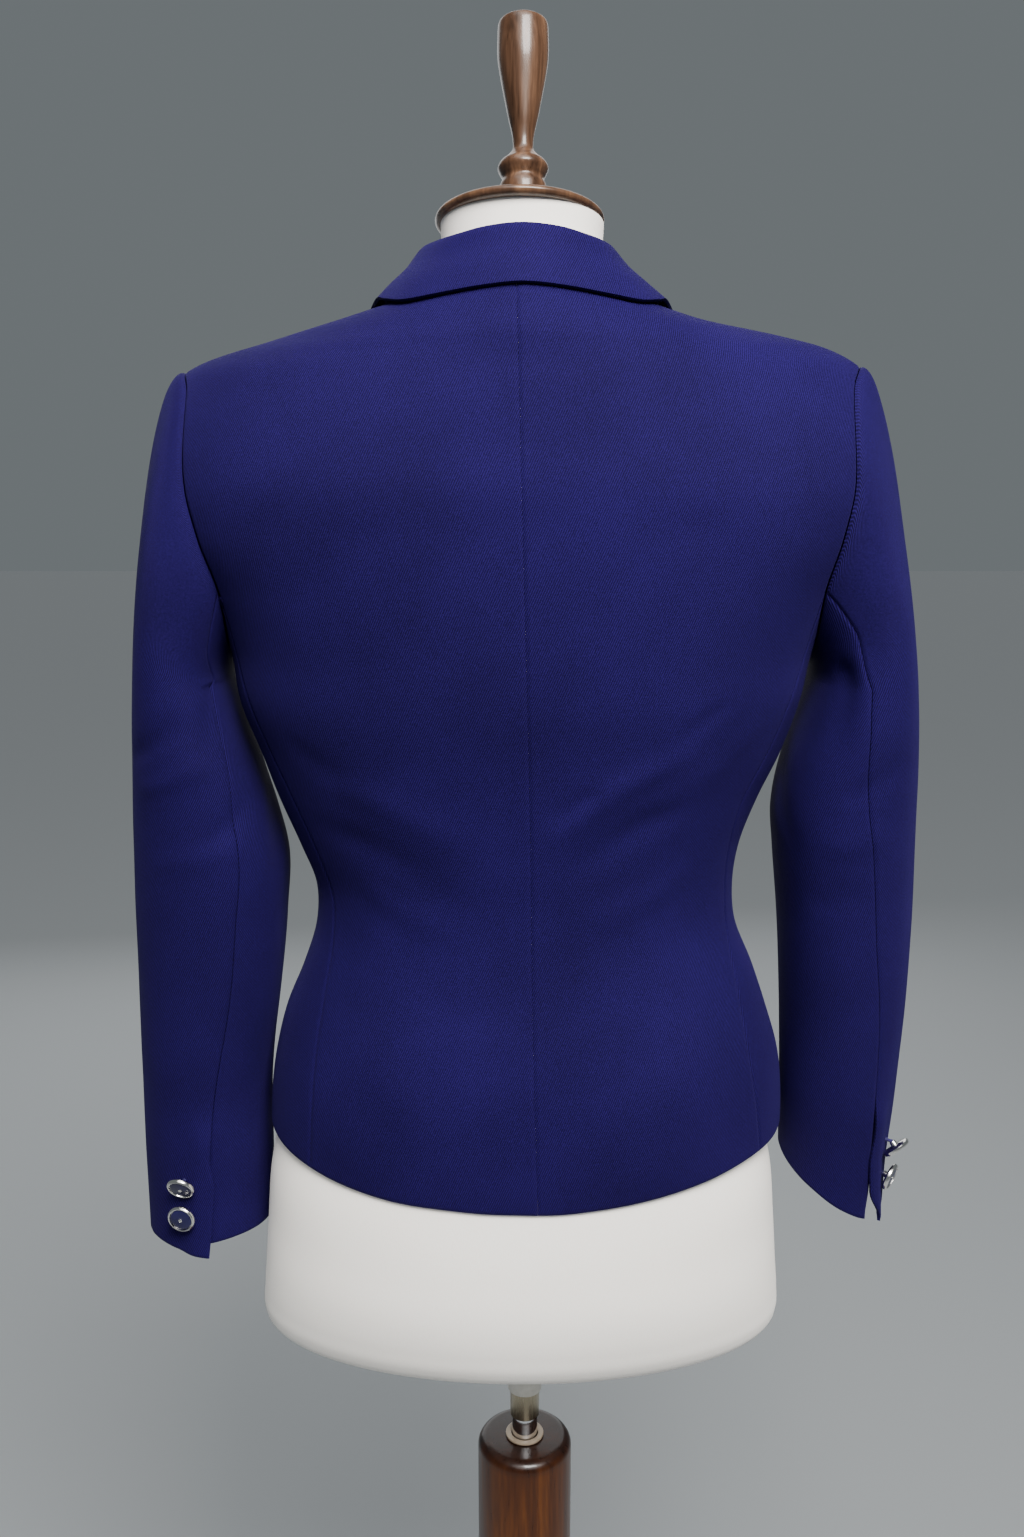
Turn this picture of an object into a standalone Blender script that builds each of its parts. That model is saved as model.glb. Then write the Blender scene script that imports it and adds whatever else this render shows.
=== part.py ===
"""A cropped blazer on a limbless dress form: each cut cloth piece, the form and its stand as a closed solid.

Frame: metres, +Z up, floor at z = 0. The jacket's front faces -Y and its left side is +X.
The tables and named sizes below are in millimetres and degrees. MM turns them into metres once,
when a mesh or a placing is written.

The body cloth is one surface of level sections: body_point(side, phi, z) goes round from centre
back (phi 90) over the side (phi 0) to centre front (phi -90). The panels are areas of it, cut at
the seams. The sleeve is a second surface, sleeve_point(side, alpha, level), which starts at the
armhole of the first (level 0), ends its cap at level 1 and its cuff at level 2.
"""

import math

import bpy
import numpy as np
from mathutils import Vector
from mathutils.bvhtree import BVHTree

MM = 0.001
LEFT = 1
RIGHT = -1
SIDE_NAMES = {LEFT: "left", RIGHT: "right"}

# Cloth
WALL = 2.0
SEAM_GAP = 0.3
LAPEL_OUT = 3.2
FRONT_LAP_LIFT = 2.9

# Level sections of the body, from below the hem to the neck seam
BODY_COLUMNS = ("z", "half_left", "half_right", "back", "front", "y_side", "n_back", "n_front")
BODY_ROWS = (
    (885, 168, 173, 104, 101, -6, 2.30, 2.30),
    (905, 168, 174, 104, 100, -6, 2.30, 2.30),
    (930, 167, 174, 103, 99, -6, 2.30, 2.30),
    (960, 163, 171, 100, 97, -6, 2.30, 2.30),
    (991, 155, 162, 94, 95, -6, 2.25, 2.25),
    (1017, 144, 153, 88, 93, -6, 2.25, 2.20),
    (1050, 134, 140, 84, 92, -6, 2.20, 2.20),
    (1075, 134, 138, 84, 95, -6, 2.20, 2.20),
    (1100, 143, 141, 87, 100, -6, 2.25, 2.15),
    (1132, 156, 152, 92, 111, -6, 2.30, 2.10),
    (1161, 166, 165, 97, 121, -6, 2.35, 2.10),
    (1195, 178, 176, 102, 128, -5, 2.40, 2.10),
    (1225, 182, 182, 105, 128, -5, 2.40, 2.10),
    (1260, 194, 194, 106, 120, -4, 2.45, 2.05),
    (1294, 213, 211, 105, 108, -2, 2.45, 2.00),
    (1322, 222, 219, 103, 98, 0, 2.35, 1.90),
    (1349, 224, 220, 99, 88, 0, 2.15, 1.80),
    (1378, 214, 212, 94, 76, 0, 1.85, 1.70),
    (1392, 204, 205, 91, 70, 0, 1.70, 1.60),
    (1399, 193, 196, 89, 66, 1, 1.60, 1.60),
    (1406, 176, 182, 87, 63, 2, 1.55, 1.60),
    (1413, 155, 161, 84, 59, 3, 1.50, 1.60),
    (1420, 134, 137, 80, 55, 4, 1.50, 1.65),
    (1427, 111, 109, 75, 50, 6, 1.50, 1.70),
    (1434, 85, 83, 68, 45, 8, 1.60, 1.80),
)

# Lines cut in the body surface. Their x and y are on the piece's own side: + is its outer side
SHOULDER_Z = 1392.0
SHOULDER_DROP = 4.5
SHOULDER_RISE = {LEFT: 2.5, RIGHT: 6.0}
CAP_REACH = {LEFT: 72.0, RIGHT: 60.0}
ARMHOLE = {"z": 1308.5, "half_height": 83.5, "y": -2.0, "back": 61.0, "front": 57.0}
# Degrees round the armhole, from the shoulder, of the rows and columns that meet there
YOKE_ALPHAS = (124, 108, 92, 76, 60, 42, 22, 0)
UNDERARM_ALPHAS = (124, 138, 152, 166, 180, 194, 208, 222, 236)
JOIN_Z = ARMHOLE["z"] + ARMHOLE["half_height"] * math.cos(math.radians(YOKE_ALPHAS[0]))

# Height of the hem round the body: phi is -90 at centre front, 0 at the side, 90 at centre back
HEM_COLUMNS = ("phi", "left", "right")
HEM_ROWS = (
    (-90, 900.0, 900.0),
    (-45, 904.0, 904.0),
    (0, 913.0, 912.5),
    (12, 911.5, 911.5),
    (24, 906.0, 908.0),
    (36, 899.5, 901.5),
    (50, 894.0, 895.5),
    (66, 891.5, 891.3),
    (78, 890.0, 889.5),
    (90, 889.5, 889.5),
)

CENTRE_BACK_COLUMNS = ("z", "x")
CENTRE_BACK_ROWS = ((885, -10.0), (993, -6.9), (1116, -4.9), (1288, -0.3), (1434, 3.6))

SIDE_BACK_COLUMNS = ("z", "left", "right")
SIDE_BACK_ROWS = (
    (885, 134, 153),
    (938, 132, 149),
    (976, 129, 143),
    (1012, 124, 137),
    (1046, 119, 131),
    (1070, 118, 129),
    (1100, 126, 129),
    (1135, 140, 135),
    (1167, 154, 150),
    (1213, 170, 167),
)

SIDE_FRONT_COLUMNS = ("z", "y")
SIDE_FRONT_ROWS = ((885, -52), (1000, -48), (1060, -42), (1160, -50), (1220, -52))

FRONT_EDGE_COLUMNS = ("z", "x")
FRONT_EDGE_ROWS = (
    (890, 44),
    (900, 26),
    (915, 6),
    (935, -8),
    (965, -16),
    (1030, -17),
    (1090, -17),
    (1110, -12),
    (1150, 0),
    (1200, 14),
    (1250, 28),
    (1300, 41),
    (1350, 54),
    (1392, 66),
    (1415, 74),
    (1434, 79),
)

LAPEL_EDGE_COLUMNS = ("z", "x")
LAPEL_EDGE_ROWS = (
    (1092, -13),
    (1110, 2),
    (1150, 29),
    (1200, 56),
    (1250, 78),
    (1300, 96),
    (1340, 110),
    (1362, 118),
    (1368, 114),
    (1380, 93),
    (1392, 72),
)
LAPEL_BOTTOM_Z = {LEFT: 1164.0, RIGHT: 1096.0}
LAPEL_TOP_Z = 1389.0

# Rows of the grids, bottom to top. The first row follows the hem
BODY_LEVELS = (895, 915, 938, 962, 988, 1012, 1036, 1060, 1084, 1110, 1138, 1168, 1200, 1232)
SHOULDER_LEVELS = (1399, 1406, 1413, 1420, 1427, 1433)
BACK_COLUMNS = 9
SIDE_COLUMNS = len(UNDERARM_ALPHAS)
FRONT_COLUMNS = 9
LAPEL_COLUMNS = 5

# Collar: one strip from the gorge of one front round the neck to the other, in stations
COLLAR_COLUMNS = (
    "seam_x", "seam_z", "seam_face", "fold_left", "fold_right", "fold_y", "fold_z",
    "edge_x", "edge_z", "edge_face", "edge_out",
)
COLLAR_ROWS = (
    (0.0, 1433.0, 1, 0.0, 0.0, 60.0, 1465.8, 0.0, 1431.0, 1, 3.2),
    (22.0, 1433.0, 1, 19.0, 19.0, 57.0, 1464.6, 23.0, 1430.0, 1, 3.2),
    (43.0, 1433.0, 1, 35.0, 34.0, 48.0, 1462.4, 45.0, 1428.5, 1, 3.2),
    (62.0, 1433.0, 1, 47.5, 45.0, 34.0, 1461.4, 66.0, 1427.5, 1, 3.4),
    (76.0, 1433.0, 1, 57.0, 51.5, 17.0, 1460.6, 78.0, 1431.0, 1, 3.8),
    (81.5, 1433.0, 1, 61.5, 53.5, 1.0, 1457.0, 85.0, 1432.8, 1, 4.4),
    (78.4, 1430.0, -1, 64.5, 57.5, -15.0, 1450.0, 97.0, 1424.0, -1, 3.9),
    (74.8, 1418.0, -1, 66.5, 62.5, -34.0, 1434.0, 106.0, 1411.0, -1, 3.7),
    (70.4, 1405.0, -1, 68.0, 67.0, -51.0, 1415.0, 113.0, 1398.0, -1, 3.4),
    (66.6, 1393.0, -1, 66.0, 66.0, -66.0, 1398.0, 95.0, 1381.5, -1, 3.2),
)

# Sleeve: level sections of the tube below the cap
SLEEVE_COLUMNS = ("z", "inner", "outer", "y_front", "y_back", "square")
SLEEVE_ROWS = {
    LEFT: (
        (1205, 185.5, 242.5, -64, 59, 0.10),
        (1180, 178.5, 245.0, -63, 57, 0.09),
        (1150, 168.5, 247.5, -62, 54, 0.08),
        (1120, 159.5, 250.0, -61, 50, 0.07),
        (1094, 153.5, 251.5, -60, 47, 0.06),
        (1050, 155.5, 253.5, -58, 42, 0.05),
        (991, 162.5, 255.0, -56, 38, 0.04),
        (960, 167.0, 255.5, -55, 36, 0.04),
        (930, 170.0, 256.0, -54, 33, 0.03),
        (882, 170.8, 256.5, -52, 30, 0.02),
        (845, 171.8, 256.5, -51, 28, 0.02),
        (810, 173.5, 256.5, -50, 27, 0.02),
    ),
    RIGHT: (
        (1205, 185.5, 247.0, -64, 59, 0.10),
        (1180, 178.0, 250.0, -63, 57, 0.09),
        (1150, 168.5, 252.5, -62, 54, 0.08),
        (1120, 164.0, 254.0, -61, 50, 0.07),
        (1094, 166.0, 255.0, -60, 47, 0.06),
        (1050, 170.5, 256.5, -58, 43, 0.05),
        (991, 174.5, 256.5, -56, 39, 0.04),
        (930, 177.0, 253.0, -54, 36, 0.03),
        (882, 178.0, 249.0, -52, 33, 0.02),
        (845, 178.5, 248.5, -51, 31, 0.02),
        (810, 179.0, 249.0, -50, 30, 0.02),
    ),
}
CAP_END_Z = 1205.0

# Where the two sleeve seams run, in degrees round the sleeve: 0 is its outer side, 90 its back
SLEEVE_SEAM_COLUMNS = ("level", "back", "front")
SLEEVE_SEAM_ROWS = {
    LEFT: (
        (0.0, 124, 236), (0.5, 138, 233), (1.0, 147, 230), (1.12, 136, 228), (1.25, 124, 226),
        (1.38, 119, 226), (1.56, 116, 224), (1.73, 107, 223), (1.86, 100, 222), (2.0, 93, 222),
    ),
    RIGHT: (
        (0.0, 124, 236), (0.5, 117, 234), (1.0, 104, 232), (1.08, 97, 232), (1.16, 91, 231),
        (1.27, 83, 230), (1.48, 77, 229), (1.58, 72, 228), (1.79, 66, 227), (2.0, 58, 226),
    ),
}

# Lower edge of the cuff, in degrees round the sleeve
CUFF_COLUMNS = ("alpha", "z")
CUFF_ROWS = {
    LEFT: ((-140, 838), (-90, 836), (0, 827), (60, 828), (92, 829), (125, 832), (180, 834), (220, 838)),
    RIGHT: ((-140, 880), (-90, 872), (0, 855), (60, 847), (93, 856), (128, 869), (180, 881), (220, 880)),
}
VENT_LEVEL = 1.74
VENT_LIFT = 2.9
VENT_LAP = {LEFT: 4.0, RIGHT: 3.0}
FLAP_DROP = {LEFT: 9.0, RIGHT: 4.0}
VENT_SPREAD = {LEFT: 0.0, RIGHT: 8.0}
SLEEVE_LEVELS = (
    0.0, 0.12, 0.26, 0.42, 0.6, 0.8, 1.0, 1.08, 1.16, 1.24, 1.32,
    1.4, 1.48, 1.56, 1.65, 1.74, 1.82, 1.88, 1.94, 2.0,
)
CAP_ALPHAS = tuple(-alpha for alpha in YOKE_ALPHAS) + YOKE_ALPHAS[-2::-1]

# Pocket flaps on the fronts: x along the pocket, z down
FLAP = {"x_front": 62.0, "x_back": 126.0, "z_top": 1062.0, "depth": 54.0, "out": 2.9, "stand": 3.0}

# Buttons, which stand off the cloth on a shank
CUFF_BUTTON = {"radius": 9.3, "thick": 3.6, "shank": 2.8, "rim": 1.8}
FRONT_BUTTON = {"radius": 11.5, "thick": 4.0, "shank": 3.0, "rim": 2.5}
BUTTON_STEPS = 16
BUTTON_GAP = 0.7
# Degrees that a button's face hangs down from the cloth, on its thread
CUFF_BUTTON_COLUMNS = ("name", "side", "alpha", "level", "droop")
CUFF_BUTTON_ROWS = (
    ("upper", LEFT, 79.0, 1.872, 27.0),
    ("lower", LEFT, 78.0, 1.937, 4.0),
    ("upper", RIGHT, 40.0, 1.85, 42.0),
    ("lower", RIGHT, 40.0, 1.918, 14.0),
)
FRONT_BUTTON_COLUMNS = ("name", "x", "z")
FRONT_BUTTON_ROWS = (("upper", 0.0, 1078.0), ("lower", 0.0, 984.0))

# Dress form: level sections of the torso
TORSO_COLUMNS = ("z", "half", "back", "front", "y", "n")
TORSO_ROWS = (
    (763, 163, 77, 86, 0, 2.0),
    (765, 170, 82.5, 91, 0, 2.0),
    (769, 174.5, 87, 95, 0, 2.0),
    (776, 176.5, 91.5, 99, 0, 2.02),
    (790, 176, 96, 103, 0, 2.08),
    (812, 174, 100, 105, 0, 2.15),
    (845, 171.5, 101, 104, -1, 2.2),
    (883, 168, 98, 99, -2, 2.3),
    (920, 160, 93, 92, -4, 2.3),
    (970, 146, 84, 84, -6, 2.2),
    (1020, 126, 74, 79, -7, 2.2),
    (1060, 117, 68, 78, -7, 2.2),
    (1100, 123, 72, 84, -7, 2.2),
    (1150, 142, 82, 103, -7, 2.1),
    (1200, 156, 90, 113, -6, 2.1),
    (1250, 161, 93, 106, -5, 2.1),
    (1300, 168, 92, 91, -3, 2.1),
    (1345, 170, 87, 76, -2, 2.0),
    (1384, 164, 80, 63, 0, 1.9),
    (1403, 147, 74, 54, 2, 1.9),
    (1416, 116, 68, 49, 5, 1.9),
    (1424.7, 84, 61, 46, 8, 1.9),
    (1434, 66, 52, 46, 8, 2.0),
    (1446, 53, 44, 47, 6, 2.0),
    (1458, 48.6, 42, 48, 5, 2.0),
    (1473.6, 48.6, 42, 49, 4, 2.0),
)
TORSO_SPOKES = 32
NECK_TILT = 9.0

# Stand, bottom to top
STAND_X = -3.0
BASE = {"radius": 190.0, "height": 28.0, "edge": 9.0}
POST = {"radius": 33.0, "top": 667.0, "round": 7.0, "bore": 9.2, "bore_bottom": 559.7}
RING = {"radius": 13.4, "inner": 9.4, "z": 667.3, "height": 1.6}
INNER_TUBE = {"radius": 8.9, "bottom": 560.0, "top": 905.0}
OUTER_TUBE = {"radius": 10.2, "inner": 9.2, "bottom": 684.0, "top": 930.0}
BUSH = {"radius": 13.0, "low_radius": 11.7, "inner": 10.5, "bottom": 704.0, "top": 762.7}
TORSO_BORE = {"radius": 10.5, "top": 935.0}
STAND_STEPS = 32
CAP = {"radius": 50.5, "thick": 6.0, "z": 1477.0, "x": 1.4, "y": 2.0}
KNOB_X = -0.6
FINIAL_COLUMNS = ("radius", "height")
FINIAL_ROWS = (
    (14.8, 0.0),
    (14.6, 8.0),
    (14.0, 17.0),
    (12.4, 21.5),
    (13.8, 24.5),
    (15.1, 28.0),
    (13.6, 31.5),
    (9.5, 35.0),
    (6.4, 39.0),
    (6.1, 44.0),
    (7.0, 50.0),
    (8.9, 58.0),
    (11.9, 73.0),
    (14.6, 88.0),
    (15.3, 96.0),
    (15.2, 106.0),
    (14.7, 112.8),
    (12.6, 115.0),
    (0.0, 115.6),
)

# Colours: red, green, blue, roughness, metallic
LOOKS = {
    "wool_twill": (0.020, 0.018, 0.110, 0.80, 0.0),
    "ivory_jersey": (0.800, 0.760, 0.730, 0.85, 0.0),
    "walnut": (0.110, 0.048, 0.026, 0.28, 0.0),
    "brown_wood": (0.085, 0.028, 0.014, 0.25, 0.0),
    "white_nylon": (0.780, 0.770, 0.740, 0.45, 0.0),
    "brushed_steel": (0.560, 0.550, 0.530, 0.38, 1.0),
    "chrome": (0.700, 0.700, 0.710, 0.08, 1.0),
    "silver_metal": (0.720, 0.710, 0.690, 0.18, 1.0),
    "navy_enamel": (0.014, 0.014, 0.075, 0.22, 0.0),
}


# Tables and curves


def column(columns, rows, name):
    """One named column of a table."""
    place = columns.index(name)
    return np.array([row[place] for row in rows], float)


def through(xs, ys, x):
    """Value at x of the smooth curve through the points (xs, ys), straight beyond its ends."""
    xs = np.asarray(xs, float)
    ys = np.asarray(ys, float)
    if xs[0] > xs[-1]:
        xs, ys = xs[::-1], ys[::-1]
    x = np.asarray(x, float)
    steps = np.diff(xs)
    slopes = np.diff(ys) / steps
    tangents = np.empty(len(xs))
    tangents[0] = slopes[0]
    tangents[-1] = slopes[-1]
    tangents[1:-1] = (slopes[:-1] * steps[1:] + slopes[1:] * steps[:-1]) / (steps[:-1] + steps[1:])
    place = np.clip(np.searchsorted(xs, x) - 1, 0, len(steps) - 1)
    inside = np.clip(x, xs[0], xs[-1])
    step = steps[place]
    s = (inside - xs[place]) / step
    value = (
        (2 * s**3 - 3 * s**2 + 1) * ys[place]
        + (s**3 - 2 * s**2 + s) * step * tangents[place]
        + (3 * s**2 - 2 * s**3) * ys[place + 1]
        + (s**3 - s**2) * step * tangents[place + 1]
    )
    return value + np.where(x < xs[0], tangents[0], tangents[-1]) * (x - inside)


def table(columns, rows, name, x):
    """The named column of a table at x, its first column."""
    return through(column(columns, rows, columns[0]), column(columns, rows, name), x)


def ease(x):
    """0 to 1, soft at both ends."""
    x = np.clip(x, 0.0, 1.0)
    return x * x * (3 - 2 * x)


def normals(point, a, b):
    """Unit normals of the surface point(a, b), where a and b turn it outward in that order."""
    step = 1e-3
    along_a = point(a + step, b) - point(a - step, b)
    along_b = point(a, b + step) - point(a, b - step)
    across = np.cross(along_a, along_b)
    return across / np.linalg.norm(across, axis=-1, keepdims=True)


# Body surface


def body_half(x, z):
    """Half width of the section at height z on the side of the world x."""
    left = table(BODY_COLUMNS, BODY_ROWS, "half_left", z)
    right = table(BODY_COLUMNS, BODY_ROWS, "half_right", z)
    return np.where(x >= 0, left, right)


def body_depth(face, z):
    """Depth and squareness of the section at height z, where face is + at the back."""
    back = table(BODY_COLUMNS, BODY_ROWS, "back", z)
    front = table(BODY_COLUMNS, BODY_ROWS, "front", z)
    n_back = table(BODY_COLUMNS, BODY_ROWS, "n_back", z)
    n_front = table(BODY_COLUMNS, BODY_ROWS, "n_front", z)
    return np.where(face >= 0, back, front), np.where(face >= 0, n_back, n_front)


def body_point(side, phi, z):
    """A point of the body's outer face, as an array ending in x, y, z."""
    phi, z = np.broadcast_arrays(np.asarray(phi, float), np.asarray(z, float))
    c = np.cos(np.radians(phi))
    s = np.sin(np.radians(phi))
    half = body_half(side * c, z)
    depth, n = body_depth(s, z)
    radius = ((np.abs(c) / half) ** n + (np.abs(s) / depth) ** n) ** (-1 / n)
    y = table(BODY_COLUMNS, BODY_ROWS, "y_side", z) + radius * s
    drop = SHOULDER_DROP * ease((z - 1380.0) / 32.0) * np.clip(c, 0, 1) ** 2
    drop = drop - SHOULDER_RISE[side] * ease((z - 1342.0) / 50.0) * ease((radius * c - 100.0) / 90.0)
    return np.stack([side * radius * c, y, z - drop], -1)


def body_normal(side, phi, z):
    """Outward normal of the body there."""
    return side * normals(lambda a, b: body_point(side, a, b), np.asarray(phi, float), np.asarray(z, float))


def phi_at_x(side, x, z, face):
    """Where the back (face 1) or front (face -1) has this x, measured outward on its own side."""
    half = body_half(side * x, z)
    depth, n = body_depth(face, z)
    y = depth * np.clip(1 - (np.abs(x) / half) ** n, 0, 1) ** (1 / n)
    return np.degrees(np.arctan2(face * y, x))


def phi_at_y(side, y, z):
    """Where the side has this y."""
    away = y - table(BODY_COLUMNS, BODY_ROWS, "y_side", z)
    half = body_half(side, z)
    depth, n = body_depth(away, z)
    x = half * np.clip(1 - (np.abs(away) / depth) ** n, 0, 1) ** (1 / n)
    return np.degrees(np.arctan2(away, x))


def armhole_y(z, face):
    """y of the armhole at height z, on its back (1) or front (-1) half."""
    up = np.clip((z - ARMHOLE["z"]) / ARMHOLE["half_height"], -1, 1)
    reach = ARMHOLE["back"] if face > 0 else ARMHOLE["front"]
    return ARMHOLE["y"] + face * reach * np.sqrt(1 - up**2)


def armhole_at(side, alpha):
    """phi and z of the armhole, where alpha is 0 at the shoulder and 90 at the back."""
    z = ARMHOLE["z"] + ARMHOLE["half_height"] * np.cos(np.radians(alpha))
    s = np.sin(np.radians(alpha))
    y = ARMHOLE["y"] + np.where(s > 0, ARMHOLE["back"], ARMHOLE["front"]) * s
    return phi_at_y(side, y, z), z


def side_back_phi(side, z):
    """The seam between back and side panel, then the back of the armhole, then the shoulder seam."""
    join = body_point(side, phi_at_y(side, armhole_y(JOIN_Z, 1), JOIN_Z), JOIN_Z)
    zs = np.append(column(SIDE_BACK_COLUMNS, SIDE_BACK_ROWS, "z"), JOIN_Z)
    xs = np.append(column(SIDE_BACK_COLUMNS, SIDE_BACK_ROWS, SIDE_NAMES[side]), abs(join[0]))
    seam = phi_at_x(side, through(zs, xs, z), z, 1)
    armhole = phi_at_y(side, armhole_y(z, 1), z)
    return np.where(z <= JOIN_Z, seam, np.where(z <= SHOULDER_Z, armhole, 0.0))


def side_front_phi(side, z):
    """The seam between side panel and front, then the front of the armhole, then the shoulder seam."""
    zs = np.append(column(SIDE_FRONT_COLUMNS, SIDE_FRONT_ROWS, "z"), JOIN_Z)
    ys = np.append(column(SIDE_FRONT_COLUMNS, SIDE_FRONT_ROWS, "y"), armhole_y(JOIN_Z, -1))
    seam = phi_at_y(side, through(zs, ys, z), z)
    armhole = phi_at_y(side, armhole_y(z, -1), z)
    return np.where(z <= JOIN_Z, seam, np.where(z <= SHOULDER_Z, armhole, 0.0))


def centre_back_phi(side, z):
    """The centre back seam, which leans a little across the back."""
    return phi_at_x(side, side * table(CENTRE_BACK_COLUMNS, CENTRE_BACK_ROWS, "x", z), z, 1)


def front_edge_phi(side, z):
    """The front edge, then the roll line that the lapel turns on, up to the neck."""
    return phi_at_x(side, table(FRONT_EDGE_COLUMNS, FRONT_EDGE_ROWS, "x", z), z, -1)


def hem_z(side, phi):
    """Height of the hem round the body."""
    return table(HEM_COLUMNS, HEM_ROWS, SIDE_NAMES[side], phi)


# Grids


def spread(point, start, end, count, trim=SEAM_GAP / 2):
    """count values from start to end, evenly apart along point(value), trimmed at both ends."""
    fine = np.linspace(start, end, 161)
    lengths = np.linalg.norm(np.diff(point(fine), axis=0), axis=1)
    run = np.append(0.0, np.cumsum(lengths))
    return np.interp(np.linspace(trim, run[-1] - trim, count), run, fine)


def body_rows(side, levels, start_phi, end_phi, count):
    """phi and z of a grid on the body: a row per level, evenly from start_phi(z) to end_phi(z)."""
    phis = []
    zs = []
    for level in levels:
        start = float(start_phi(side, np.array(float(level))))
        end = float(end_phi(side, np.array(float(level))))
        phi = spread(lambda a, z=level: body_point(side, a, z), start, end, count)
        phis.append(phi)
        zs.append(np.full(count, float(level)))
    phis = np.array(phis)
    zs = np.array(zs)
    drop = hem_z(side, phis[0]) - zs[0]
    for row in range(3):
        zs[row] += drop * (1 - row / 3)
    return phis, zs


def body_sheet(side, phi, z, out=0.0, wall=WALL):
    """Outer and inner face of cloth over a grid of the body, its outer face moved out."""
    normal = body_normal(side, phi, z)
    outer = body_point(side, phi, z) + normal * np.expand_dims(out, -1)
    return outer, outer - normal * wall


def shell(name, outer, inner, look, flip=False):
    """One closed sheet from its outer and inner grids of points."""
    rows, cols = outer.shape[:2]
    points = np.concatenate([outer.reshape(-1, 3), inner.reshape(-1, 3)])
    under = rows * cols
    faces = []
    for row in range(rows - 1):
        for col in range(cols - 1):
            a = row * cols + col
            b = a + 1
            c = a + cols + 1
            d = a + cols
            faces.append((a, b, c, d))
            faces.append((under + d, under + c, under + b, under + a))
    ring = list(range(cols))
    ring += [row * cols + cols - 1 for row in range(1, rows)]
    ring += [(rows - 1) * cols + col for col in range(cols - 2, -1, -1)]
    ring += [row * cols for row in range(rows - 2, 0, -1)]
    for place, a in enumerate(ring):
        b = ring[(place + 1) % len(ring)]
        faces.append((a, under + a, under + b, b))
    if flip:
        faces = [face[::-1] for face in faces]
    return add_mesh(name, points, faces, look)


# Blender objects


def add_look(name):
    """The plain material of that name."""
    if name in bpy.data.materials:
        return bpy.data.materials[name]
    red, green, blue, roughness, metallic = LOOKS[name]
    made = bpy.data.materials.new(name)
    made.use_nodes = True
    made.diffuse_color = (red, green, blue, 1.0)
    shader = made.node_tree.nodes["Principled BSDF"]
    shader.inputs["Base Color"].default_value = (red, green, blue, 1.0)
    shader.inputs["Roughness"].default_value = roughness
    shader.inputs["Metallic"].default_value = metallic
    return made


def add_object(name, mesh, look):
    """A named object in the model's collection."""
    made = bpy.data.objects.new(name, mesh)
    mesh.materials.append(add_look(look))
    bpy.data.collections["cropped_blazer"].objects.link(made)
    return made


def add_mesh(name, points_mm, faces, look):
    """An object from points in millimetres."""
    mesh = bpy.data.meshes.new(name)
    mesh.from_pydata([tuple(float(v) * MM for v in point) for point in points_mm], [], faces)
    mesh.validate()
    mesh.update()
    return add_object(name, mesh, look)


def lathe(name, profile, look, steps=STAND_STEPS):
    """A turned solid: its profile of (radius, height) runs from the top to the bottom."""
    mesh = bpy.data.meshes.new(name)
    points = [(radius * MM, 0.0, height * MM) for radius, height in profile]
    closed = profile[0][0] > 0 and profile[-1][0] > 0
    edges = [(i, i + 1) for i in range(len(points) - 1)]
    if closed:
        edges.append((len(points) - 1, 0))
    mesh.from_pydata(points, edges, [])
    made = add_object(name, mesh, look)
    screw = made.modifiers.new("turn", "SCREW")
    screw.steps = steps
    screw.render_steps = steps
    screw.use_merge_vertices = True
    screw.merge_threshold = 0.00001
    return made


# Cloth pieces


def add_backs():
    """The two back panels, from the centre back seam to the side-back seam, armhole and shoulder."""
    for side in (LEFT, RIGHT):
        levels = BODY_LEVELS + yoke_levels()
        phi, z = body_rows(side, levels, centre_back_phi, side_back_phi, BACK_COLUMNS)
        outer, inner = body_sheet(side, phi, z)
        shell("back_" + SIDE_NAMES[side], outer, inner, "wool_twill", flip=side == LEFT)


def yoke_levels():
    """Heights of the rows from the side seams up, which meet the sleeve's columns at the armhole."""
    round_armhole = ARMHOLE["z"] + ARMHOLE["half_height"] * np.cos(np.radians(YOKE_ALPHAS))
    return tuple(round_armhole) + SHOULDER_LEVELS


def side_grid(side, levels, count):
    """phi and z of the side panel, whose top row lies along the lower armhole."""
    top_phi, top_z = armhole_at(side, np.array(UNDERARM_ALPHAS, float))
    top_phi[0] -= 0.2
    top_phi[-1] += 0.2
    levels = np.array(levels, float)
    phis = []
    for level in levels:
        start = float(side_back_phi(side, np.array(level)))
        end = float(side_front_phi(side, np.array(level)))
        phis.append(spread(lambda a, z=level: body_point(side, a, z), start, end, count))
    phis = np.array(phis)
    pull = ease((levels - 1060.0) / (levels[-1] - 1060.0))[:, None]
    phis += (top_phi - phis[-1]) * pull
    zs = levels[:, None] + (top_z - SEAM_GAP - levels[-1]) * pull
    drop = hem_z(side, phis[0]) - zs[0]
    for row in range(3):
        zs[row] += drop * (1 - row / 3)
    return phis, zs


def add_side_panels():
    """The panel under each arm."""
    for side in (LEFT, RIGHT):
        phi, z = side_grid(side, BODY_LEVELS + (JOIN_Z,), SIDE_COLUMNS)
        outer, inner = body_sheet(side, phi, z)
        shell("side_panel_" + SIDE_NAMES[side], outer, inner, "wool_twill", flip=side == LEFT)


def front_lift(side, phi, z):
    """How far the right front is moved out, where it laps over the left one."""
    if side == LEFT:
        return np.zeros_like(z)
    own_x = side * body_point(side, phi, z)[..., 0]
    return FRONT_LAP_LIFT * ease((44.0 - own_x) / 24.0) * ease((1230.0 - z) / 50.0)


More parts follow.
